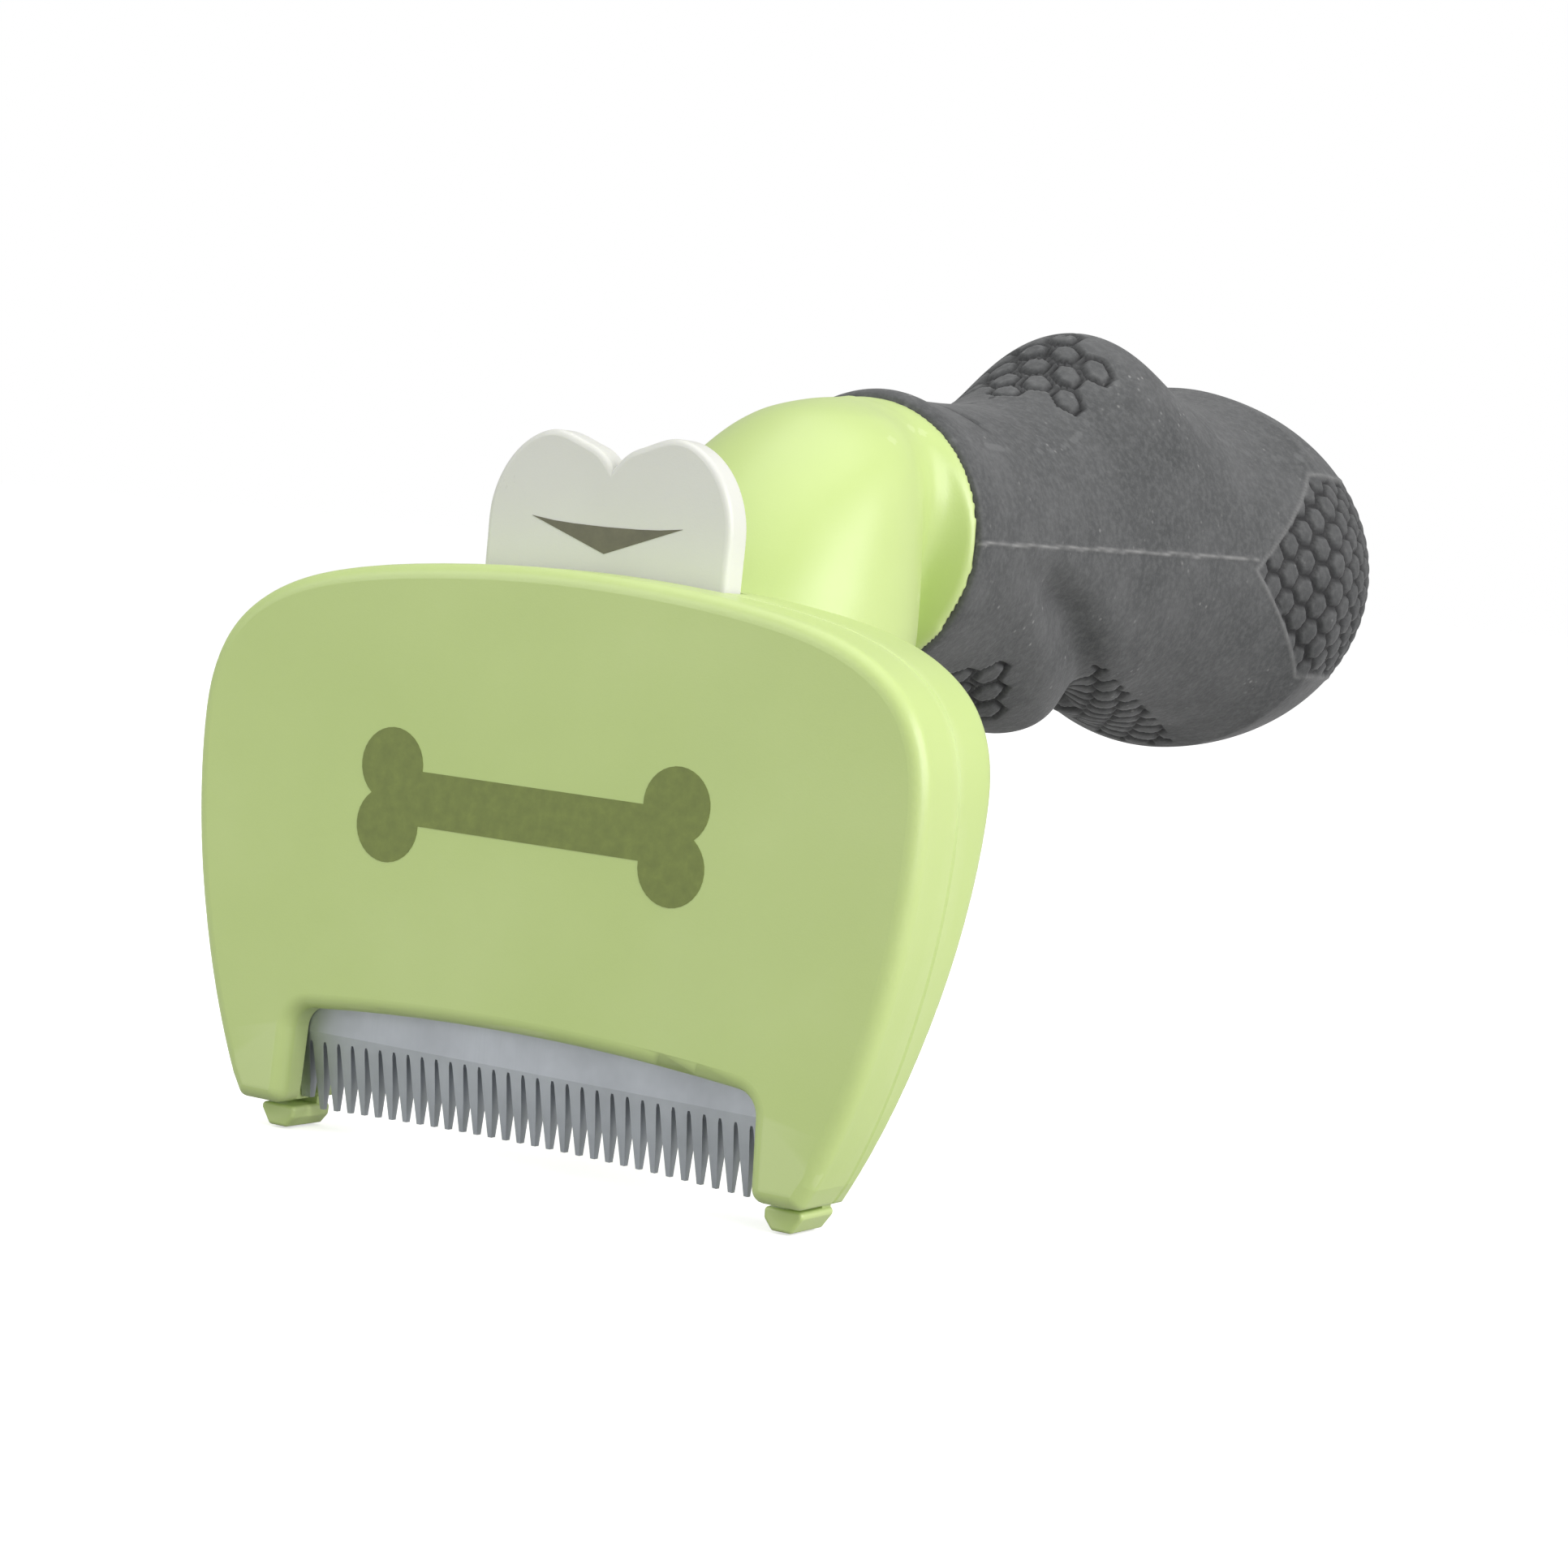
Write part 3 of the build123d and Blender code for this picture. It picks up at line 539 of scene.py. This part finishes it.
def lower_patch(points, y, below, radius):
    """Pillow cells under the handle behind the lower bump, narrower to the rear."""
    along, around = length_from(points, y, 92.0) + 92.0, below * radius
    half_width = 11.7 - 0.225 * (y - LOWER_START)
    ends = np.minimum(y - LOWER_START, LOWER_END - y)
    depth = np.minimum(half_width - np.abs(around), ends)
    depth = np.where(np.abs(below) < 1.3, depth, -9)
    edge, _, _ = hex_cells(along, around, 3.45)
    height = pillow_cells(edge, depth, flank=0.45, crown=0.10, crown_end=1.5, sink=0.48)
    # painted shade in the grooves between the cells
    painted_shade = (1 - smoothstep(0.05, 0.50, edge)) * smoothstep(0.0, PATCH_EDGE, depth)
    return height, painted_shade, 0


def finger_patch(y, below, radius):
    """Large engraved hexagons on the front of the lower bump."""
    groove = engraved_cells(y - 62.8, below * radius, below, pitch=3.8, region=(9.5, 8.0, 4.5),
                            max_angle=1.1, line=0.30, width=0.25)
    # painted shade in the grooves
    return -0.60 * groove, groove, 0


def thumb_patch(points, y, angle, radius):
    """Large engraved hexagons on the front of the top bump, fainter to the front."""
    groove = engraved_cells(length_from(points, y, 79.4), angle * radius, angle, pitch=3.7,
                            region=(7.2, 6.6, 3.2), max_angle=1.0, line=0.32, width=0.27)
    fade = smoothstep(68.0, 73.0, y)
    # painted shade in the grooves, fainter to the front
    return -0.70 * groove * (0.35 + 0.65 * fade), groove * (0.3 + 0.7 * fade), 0


def front_rim(y, angle):
    """Rolled rim at the flange, a raised lip on top and the fold behind it."""
    rolled = 0.30 * np.exp(-(y - GRIP_START) / 0.30)
    lip = 0.62 * bell(y, 50.0, 2.3) * bell(angle, 0, 0.62)
    fold = bell(y, 56.6 + 3.0 * (angle - 0.42), 0.45) * bell(angle, 0.42, 0.17)
    # painted shade in the fold's crease
    return lip - rolled - 0.35 * fold, 0.8 * fold, 0


def flash_line(points, y, angle):
    """Raised, wavering line along the mould's parting plane, on both sides."""
    from_plane = points[..., 2] - (28.1 + 0.027 * (y - 48))
    wobble = 0.05 * np.sin(y * 0.9) + 0.04 * np.sin(y * 2.3 + 1.0)
    clear_of_palm = smoothstep(PALM_END - 0.5, PALM_END + 1.0, np.abs(outline_place(points)))
    side = (np.abs(np.abs(angle) - math.pi / 2) < 0.5) * clear_of_palm
    line = bell(from_plane, wobble, 0.14) * side
    # painted highlight along the raised line
    return 0.16 * line, 0, line * (0.60 + 0.30 * np.sin(y * 1.7) * np.sin(y * 0.63 + 2))


def grip_relief(points, y, angle):
    radius = np.hypot(points[..., 0], points[..., 2] - AXIS_Z)
    below = (np.pi - np.abs(angle)) * np.sign(angle)
    parts = [palm_patch(points), lower_patch(points, y, below, radius),
             finger_patch(y, below, radius), thumb_patch(points, y, angle, radius),
             front_rim(y, angle), flash_line(points, y, angle)]
    height, painted_shade, pale = (sum(part[i] for part in parts) for i in range(3))
    return height, np.clip(painted_shade, 0, 1), np.clip(pale, 0, 1)


# ------------------------------------------------------------------ rubber grip: mesh
def grip_surface(step):
    """Grid of outer points (station, around, xyz), its angles, and painted shade and painted
    highlight.
    """
    # stations evenly spaced along the side profile
    share = np.linspace(0, 1, 4001)
    profile_y = GRIP_START + (GRIP_END - 0.02 - GRIP_START) * (1 - (1 - share) ** 2)
    profile_r = grip_radius(profile_y, np.full_like(profile_y, math.pi / 2))
    length = running_sum(np.hypot(np.diff(profile_y), np.diff(profile_r)))
    stations = np.interp(np.linspace(0, length[-1], int(length[-1] / step)), length, profile_y)
    count = int(2 * math.pi * GRIP_NOMINAL_R / step) // 4 * 4
    angles = -math.pi + 2 * math.pi * np.arange(count) / count
    y, angle = np.meshgrid(stations, angles, indexing="ij")
    radius = grip_radius(y, angle)
    points = np.stack([radius * np.sin(angle), y, AXIS_Z + radius * np.cos(angle)], -1)
    # outward normals from the grid
    along = np.gradient(points, axis=0)
    around = (np.roll(points, -1, 1) - np.roll(points, 1, 1)) / 2
    normals = np.cross(around, along)
    normals /= np.maximum(np.linalg.norm(normals, axis=-1, keepdims=True), 1e-9)
    outward = np.stack([np.sin(angle), np.zeros_like(angle), np.cos(angle)], -1)
    normals *= np.sign((normals * outward).sum(-1).mean())
    height, painted_shade, pale = grip_relief(points, y, angle)
    return points + normals * height[..., None], angles, painted_shade, pale


def grip_mesh(step):
    points, angles, painted_shade, pale = grip_surface(step)
    rows, count = points.shape[:2]
    index = np.arange(rows * count).reshape(rows, count)
    verts = [points.reshape(-1, 3)]
    faces = [ring_quads(index[:-1], index[1:])[:, [0, 3, 2, 1]]]
    # turn the front rim in onto the flange
    inward = points[0] - np.array([0, 0, AXIS_Z])
    inward[:, 1] = 0
    turned = points[0] - inward / np.linalg.norm(inward, axis=1, keepdims=True) * 0.5
    turned[:, 1] = GRIP_START
    verts.append(turned)
    # the bore the stem sits in
    for y, radius in bore_profile():
        verts.append(np.stack([radius * np.sin(angles), np.full(count, y),
                               AXIS_Z + radius * np.cos(angles)], -1))
    rings = [index[0]] + [rows * count + i * count + np.arange(count)
                          for i in range(len(verts) - 1)]
    faces += [ring_quads(*pair) for pair in zip(rings, rings[1:])]
    # triangle fans close the rear end and the end of the bore
    rear, bore_end = index[-1], rings[-1]
    hub = rings[-1][-1] + 1
    verts.append(np.array([[0, GRIP_END, AXIS_Z], [0, STEM_END + STEM_GAP, AXIS_Z]]))
    fans = np.concatenate([
        np.stack([rear, np.full(count, hub), np.roll(rear, -1)], -1),
        np.stack([bore_end, np.roll(bore_end, -1), np.full(count, hub + 1)], -1)])
    verts = np.concatenate(verts)
    marks = np.zeros((len(verts), 4))
    marks[:rows * count, 0] = painted_shade.ravel()
    marks[:rows * count, 1] = pale.ravel()
    marks[:, 3] = 1
    return verts, np.concatenate(faces).tolist() + fans.tolist(), marks


def make_grip():
    verts, faces, marks = grip_mesh(0.30)
    mesh = raw_mesh("grip_rubber", verts, faces)
    face_outward(mesh)
    relief = mesh.color_attributes.new("relief", "FLOAT_COLOR", "POINT")
    relief.data.foreach_set("color", marks.astype(np.float32).ravel())
    shade_smooth(mesh)
    fit(link_object("grip_rubber", mesh), RUBBER, node="rubber_grip")


make_grip()

# ------------------------------------------------------------------ neck and flange
# z, y of the section's centre, half width in x, half depth in y
NECK = np.array([
    (-7.0, 12.0, 10.2, 4.0), (0.0, 17.0, 12.6, 9.4), (7.0, 23.4, 13.3, 14.0),
    (14.0, 29.0, 13.3, 17.0), (18.0, 31.5, 13.2, 16.4), (22.0, 33.0, 12.8, 15.0),
    (26.0, 34.4, 12.1, 13.6), (30.0, 36.0, 11.2, 12.0), (33.0, 37.5, 10.2, 10.5),
    (36.0, 39.4, 8.4, 8.6), (38.0, 41.0, 6.2, 6.9), (39.4, 42.8, 3.4, 5.0),
    (40.1, 44.0, 1.2, 3.6)])
FLANGE_R, FLANGE_RIM, FLANGE_SAG = 12.5, 0.45, 2.3   # radius, rim thickness, dome height
HEAD_BACK_Y, HEAD_BACK_SLOPE = 11.3, 0.125           # back of the head: y at z = 0, dy/dz
NECK_BOX = ((-18, 8, -10), (18, 126, 43))


def smooth_min(first, second, blend):
    share = np.clip(0.5 + 0.5 * (second - first) / blend, 0, 1)
    return second * (1 - share) + first * share - blend * share * (1 - share)


def neck_distance(points):
    """Signed distance, negative inside, of the neck, the flange and the stem together."""
    x, y, z = points[..., 0], points[..., 1], points[..., 2]
    level = np.clip(z, NECK[0, 0], NECK[-1, 0])
    centre, half_width, half_depth = (spline(NECK, i, level) for i in (1, 2, 3))
    reach = np.sqrt((x / half_width) ** 2 + ((y - centre) / half_depth) ** 2 + 1e-9)
    column = (reach - 1) * np.minimum(half_width, half_depth)
    # slope of the section centre makes the sheared column look farther than it is
    column = column * 0.88
    ends = np.maximum(z - NECK[-1, 0], NECK[0, 0] - z)
    column = -smooth_min(-column, -ends, 2.4)
    # flange: shallow dome in front, thin rim
    from_axis = np.hypot(x, z - AXIS_Z)
    dome_r = (FLANGE_R ** 2 + FLANGE_SAG ** 2) / (2 * FLANGE_SAG)
    dome_y = FLANGE_BACK - FLANGE_RIM - FLANGE_SAG + dome_r
    dome = np.hypot(from_axis, y - dome_y) - dome_r
    disc = -smooth_min(-dome, FLANGE_R - from_axis, 0.6)
    body = smooth_min(column, disc, 1.4 + 4.2 * smoothstep(22.0, 33.0, z))
    # the top of the neck never stands proud of the flange's circle
    room = (FLANGE_R + 7.0 * (1 - smoothstep(35.5, 45.5, y))
            + 9.0 * (1 - smoothstep(14.0, 21.0, z)))
    body = -smooth_min(-body, room - from_axis, 1.0)
    # spread where the neck runs into the back of the head
    plane = ((y - (HEAD_BACK_Y + HEAD_BACK_SLOPE * z)) / math.hypot(1, HEAD_BACK_SLOPE)) + 0.35
    slab = np.maximum(np.maximum(plane, z - 18.5), column - 1.7)
    body = smooth_min(body, slab, 1.9)
    body = np.maximum(body, -(plane + 1.2))
    body = np.maximum(body, y - FLANGE_BACK)
    # stem inside the grip, starting a little inside the flange
    stem = np.maximum(from_axis - stem_radius(y), np.maximum(y - STEM_END, 44.0 - y))
    for collar in COLLARS:
        rim = from_axis - (stem_radius(collar) + COLLAR_RISE)
        stem = np.minimum(stem, np.maximum(rim, np.abs(y - collar) - COLLAR_HALF))
    return np.minimum(body, stem)


def net_faces(inside, index):
    """A quad around every grid edge that crosses the surface."""
    faces = []
    for axis in range(3):
        first, second = (i for i in range(3) if i != axis)
        near = [slice(1, size - 1) for size in inside.shape]
        far = list(near)
        near[axis] = slice(0, inside.shape[axis] - 1)
        far[axis] = slice(1, inside.shape[axis])
        near_in, far_in = inside[tuple(near)], inside[tuple(far)]
        for flip, crossing in ((False, near_in & ~far_in), (True, ~near_in & far_in)):
            edges = np.argwhere(crossing)
            edges[:, [first, second]] += 1
            corners = []
            for step_first, step_second in ((0, 0), (-1, 0), (-1, -1), (0, -1)):
                cell = edges.copy()
                cell[:, first] += step_first
                cell[:, second] += step_second
                corners.append(index[tuple(cell.T)])
            quads = np.stack(corners, 1)
            faces.append(quads[:, ::-1] if (axis == 1) != flip else quads)
    return np.concatenate(faces)


def surface_net(distance, low, high, size):
    """Mesh the zero surface of distance(), one vertex for each grid cell it passes."""
    count = [int(math.ceil((b - a) / size)) + 1 for a, b in zip(low, high)]
    axes = [start + size * np.arange(n) for start, n in zip(low, count)]
    values = distance(np.stack(np.meshgrid(*axes, indexing="ij"), -1))
    inside = values < 0
    corners = list(product((0, 1), repeat=3))
    filled = sum(inside[i:count[0] - 1 + i, j:count[1] - 1 + j, k:count[2] - 1 + k].astype(np.int8)
                 for i, j, k in corners)
    crossed = (filled > 0) & (filled < 8)
    cells = np.argwhere(crossed)
    index = -np.ones(crossed.shape, np.int64)
    index[crossed] = np.arange(len(cells))
    # start at the mean of the crossings on the cell's edges
    total = np.zeros((len(cells), 3))
    hits = np.zeros(len(cells))
    for corner in corners:
        for axis in range(3):
            if corner[axis]:
                continue
            other = list(corner)
            other[axis] = 1
            here = values[tuple((cells + corner).T)]
            there = values[tuple((cells + other).T)]
            crosses = (here < 0) != (there < 0)
            point = np.tile(np.array(corner, float), (len(cells), 1))
            point[:, axis] += np.where(crosses, here / np.where(crosses, here - there, 1), 0)
            total += np.where(crosses[:, None], point, 0)
            hits += crosses
    verts = (cells + total / hits[:, None]) * size + np.array(low)
    # Newton steps pull the vertices onto the surface
    probe = 0.02
    for _ in range(4):
        value = distance(verts)
        slope = np.stack([(distance(verts + step) - distance(verts - step)) / (2 * probe)
                          for step in np.eye(3) * probe], 1)
        steepness = np.maximum((slope * slope).sum(1), 0.05)
        verts = verts - np.clip(value / steepness, -size * 0.5, size * 0.5)[:, None] * slope
    return verts, net_faces(inside, index)


def make_neck():
    verts, faces = surface_net(neck_distance, *NECK_BOX, size=0.34)
    mesh = raw_mesh("neck_and_flange", verts.astype(np.float32), faces.tolist())
    shade_smooth(mesh)
    mesh.validate()
    face_outward(mesh)
    fit(link_object("neck_and_flange", mesh), GREEN, node="handle_core")


make_neck()

# ------------------------------------------------------------------ return springs
WIRE = 0.5                               # wire diameter
TURNS, TURN_STEPS, WIRE_SIDES = 8, 28, 12


def make_spring(node):
    """Upright coil that fills the box of its node."""
    low, high = (np.array(corner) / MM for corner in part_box(node))
    centre_x, centre_y = (low[0] + high[0]) / 2, (low[1] + high[1]) / 2
    coil_r = (high[0] - low[0]) / 2 - WIRE / 2
    bottom, top = low[2] + WIRE / 2, high[2] - WIRE / 2
    count = TURNS * TURN_STEPS + 1
    share = np.linspace(0, 1, count)
    # closed end coils, open between them
    rise = np.interp(share, [0, 0.11, 0.89, 1], [0, 0.045, 0.955, 1])
    turn = 2 * math.pi * TURNS * share
    centres = np.stack([centre_x + coil_r * np.cos(turn), centre_y + coil_r * np.sin(turn),
                        bottom + (top - bottom) * rise], 1)
    tangent = np.gradient(centres, axis=0)
    tangent /= np.linalg.norm(tangent, axis=1, keepdims=True)
    outward = np.stack([np.cos(turn), np.sin(turn), np.zeros(count)], 1)
    across = np.cross(tangent, outward)
    phase = (2 * math.pi * np.arange(WIRE_SIDES) / WIRE_SIDES)[None, :, None]
    verts = centres[:, None, :] + WIRE / 2 * (np.cos(phase) * outward[:, None, :]
                                              + np.sin(phase) * across[:, None, :])
    index = np.arange(count * WIRE_SIDES).reshape(count, WIRE_SIDES)
    caps = [index[0].tolist(), index[-1][::-1].tolist()]
    mesh = raw_mesh(node + "_coil", verts.reshape(-1, 3),
                    ring_quads(index[:-1], index[1:]).tolist() + caps)
    face_outward(mesh)
    shade_smooth(mesh)
    ob = link_object(node + "_coil", mesh)
    fit(ob, SPRING, node=node)
    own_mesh(ob)


for spring_node in ("return_spring_left", "return_spring_right"):
    make_spring(spring_node)

# ------------------------------------------------------------------ printed marks
PRINT_LIFT, PRINT_THICK = 0.005, 0.03
FACE_Y, BUTTON_Y = 0.0, 6.5              # y of the front face and of the button's front
# x, z
ARROW = [(-7.4, 26.6), (-5.2, 26.35), (-3.2, 26.25), (0.0, 26.2),
         (3.2, 26.25), (5.2, 26.35), (7.4, 26.6), (0.0, 24.0)]


def printed_sheet(name, outline, plane_y):
    """Thin closed sheet from an (x, z) outline, just in front of the plane y = plane_y."""
    count = len(outline)
    sides = [(i, (i + 1) % count) for i in range(count)]
    result = delaunay_2d_cdt([Vector(p) for p in outline], sides, [], 1, 1e-6)
    flat, triangles, sources = result[0], result[2], result[3]
    assert len(flat) == count
    # where each outline point went in the triangulation
    loop = [0] * count
    for new, source in enumerate(sources):
        loop[source[0]] = new
    verts = [(p.x, plane_y - lift, p.y)
             for lift in (PRINT_LIFT + PRINT_THICK, PRINT_LIFT) for p in flat]
    faces = [tuple(t) for t in triangles]
    faces += [tuple(i + count for i in reversed(t)) for t in triangles]
    for i, j in sides:
        a, b = loop[i], loop[j]
        faces += [(b, a, a + count), (b, a + count, b + count)]
    mesh = raw_mesh(name, verts, faces)
    face_outward(mesh)
    return link_object(name, mesh)


def bone_outline(centre_x, centre_z, half_length, half_shaft, lobe_r, steps=22):
    """Plain dog-bone silhouette: a bar with two round lobes at each end."""
    points = []
    lobe_x, lobe_z = half_length - lobe_r, lobe_r * 0.80

    def arc(x, z, start, end):
        for i in range(steps + 1):
            angle = math.radians(start + (end - start) * i / steps)
            point = (centre_x + x + lobe_r * math.cos(angle),
                     centre_z + z + lobe_r * math.sin(angle))
            # skip points that repeat the last one
            if not points or math.dist(point, points[-1]) > 0.02:
                points.append(point)

    at_shaft = math.degrees(math.asin((lobe_z - half_shaft) / lobe_r))
    at_middle = math.degrees(math.asin(lobe_z / lobe_r))
    # +X end: lower lobe, then upper lobe; -X end: upper lobe, then lower lobe
    arc(lobe_x, -lobe_z, 180 - at_shaft, 360 + at_middle)
    arc(lobe_x, lobe_z, -at_middle, 180 + at_shaft)
    arc(-lobe_x, lobe_z, -at_shaft, 180 + at_middle)
    arc(-lobe_x, -lobe_z, 180 - at_middle, 360 + at_shaft)
    if math.dist(points[0], points[-1]) < 0.02:
        points.pop()
    return points


BONE = bone_outline(centre_x=-0.5, centre_z=2.6, half_length=17.0, half_shaft=2.25, lobe_r=3.1)
fit(printed_sheet("print_bone", BONE, FACE_Y), OLIVE)
fit(printed_sheet("print_arrow", ARROW, BUTTON_Y), GREY_INK, rides="ejector")

# ------------------------------------------------------------------ floor (metres)
FLOOR_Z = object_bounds()[0][2] - 0.0002
FLOOR_Y = 0.06
FLOOR_RINGS, FLOOR_SIDES = (0.15, 0.4, 0.9, 1.8, 3.5, 7.0, 14.0), 72


def floor_material():
    """Near-white paper to the camera, greyer to other rays, clear from below."""
    n = Shader("floor_paper")
    paper = n.ramp(n.noise(scale=3.0, detail=2.0, rough=0.5),
                   [(0.3, (0.92, 0.92, 0.92)), (0.7, (0.95, 0.95, 0.95))])
    ray = n.add("LightPath").outputs
    bounce = n.mix(ray["Is Glossy Ray"], (0.34, 0.34, 0.34, 1), (0.70, 0.70, 0.70, 1))
    n.set("Base Color", n.mix(ray["Is Camera Ray"], bounce, paper))
    n.set("Emission Color", (1, 1, 1, 1))
    n.set("Emission Strength", n.math("MULTIPLY", ray["Is Camera Ray"], 0.56))
    n.set("Roughness", 0.9)
    n.set("Specular IOR Level", 0.1)
    pick = n.add("MixShader")
    n.link(n.add("NewGeometry").outputs["Backfacing"], pick.inputs[0])
    n.link(n.bsdf.outputs[0], pick.inputs[1])
    n.link(n.add("BsdfTransparent").outputs[0], pick.inputs[2])
    n.link(pick.outputs[0], n.out.inputs[0])
    return n.mat


def make_floor():
    """Wide round disc of concentric rings."""
    bm = bmesh.new()
    middle = bm.verts.new((0, FLOOR_Y, FLOOR_Z))
    turns = [2 * math.pi * i / FLOOR_SIDES for i in range(FLOOR_SIDES)]
    inner = None
    for radius in FLOOR_RINGS:
        ring = [bm.verts.new((radius * math.cos(turn), FLOOR_Y + radius * math.sin(turn), FLOOR_Z))
                for turn in turns]
        for i in range(FLOOR_SIDES):
            j = (i + 1) % FLOOR_SIDES
            if inner is None:
                bm.faces.new((middle, ring[i], ring[j]))
            else:
                bm.faces.new((inner[i], ring[i], ring[j], inner[j]))
        inner = ring
    mesh = bpy.data.meshes.new("floor")
    bm.to_mesh(mesh)
    bm.free()
    ob = link_object("floor", mesh)
    set_material(ob, floor_material())


make_floor()

# ------------------------------------------------------------------ light (metres, watts)
LIGHT_TARGET = (0.0, 0.05, 0.01)
WORLD_LIGHT, WORLD_CAMERA_EXTRA = 0.48, 0.52   # the camera sees their sum, plain white


def make_world():
    world = bpy.data.worlds.new("studio")
    world.use_nodes = True
    tree = world.node_tree
    background = tree.nodes["Background"]
    background.inputs[0].default_value = (1, 1, 1, 1)
    ray = tree.nodes.new("ShaderNodeLightPath")
    strength = tree.nodes.new("ShaderNodeMath")
    strength.operation = "MULTIPLY_ADD"
    tree.links.new(ray.outputs["Is Camera Ray"], strength.inputs[0])
    strength.inputs[1].default_value = WORLD_CAMERA_EXTRA
    strength.inputs[2].default_value = WORLD_LIGHT
    tree.links.new(strength.outputs[0], background.inputs[1])
    bpy.context.scene.world = world


def area_light(name, place, size, power, color=(1, 1, 1)):
    light = bpy.data.lights.new(name, "AREA")
    light.shape = "RECTANGLE"
    light.size, light.size_y = size
    light.energy = power
    light.color = color
    ob = link_object(name, light)
    ob.location = place
    aim = Vector(LIGHT_TARGET) - Vector(place)
    ob.rotation_euler = aim.to_track_quat("-Z", "Y").to_euler()


make_world()
area_light("key_right", place=(0.80, 0.06, 0.36), size=(0.75, 0.6), power=5.3,
           color=(1.0, 0.975, 0.985))
area_light("strip_right", place=(0.62, -0.20, 0.20), size=(0.05, 0.6), power=0.95)
area_light("top_soft", place=(-0.05, 0.05, 0.95), size=(0.9, 0.9), power=3.0)
area_light("fill_left", place=(-0.36, -0.46, 0.32), size=(0.5, 0.5), power=1.46)

# ------------------------------------------------------------------ camera
# the camera's own axes in the scene, and its place in mm
CAMERA_RIGHT = (0.855209735110229, 0.5087602093733551, 0.09889063720882554)
CAMERA_UP = (-0.11871026128274766, 0.0065510881784068935, 0.9929073255394284)
CAMERA_BACK = (0.5045038977439852, -0.8608833442450576, 0.06599761179445755)
CAMERA_PLACE = (161.33, -236.255, 26.048)


def make_camera():
    camera = bpy.data.cameras.new("camera")
    camera.sensor_fit = "HORIZONTAL"
    camera.sensor_width = 36.0
    camera.lens = 81.98757764
    camera.clip_start = 0.01
    camera.clip_end = 20
    ob = link_object("camera", camera)
    place = (c * MM for c in CAMERA_PLACE)
    ob.matrix_world = Matrix(((*CAMERA_RIGHT, 0), (*CAMERA_UP, 0), (*CAMERA_BACK, 0),
                              (*place, 1))).transposed()
    bpy.context.scene.camera = ob


make_camera()
view = bpy.context.scene.view_settings
view.view_transform = "Standard"
view.look = "None"
view.exposure = 0.0
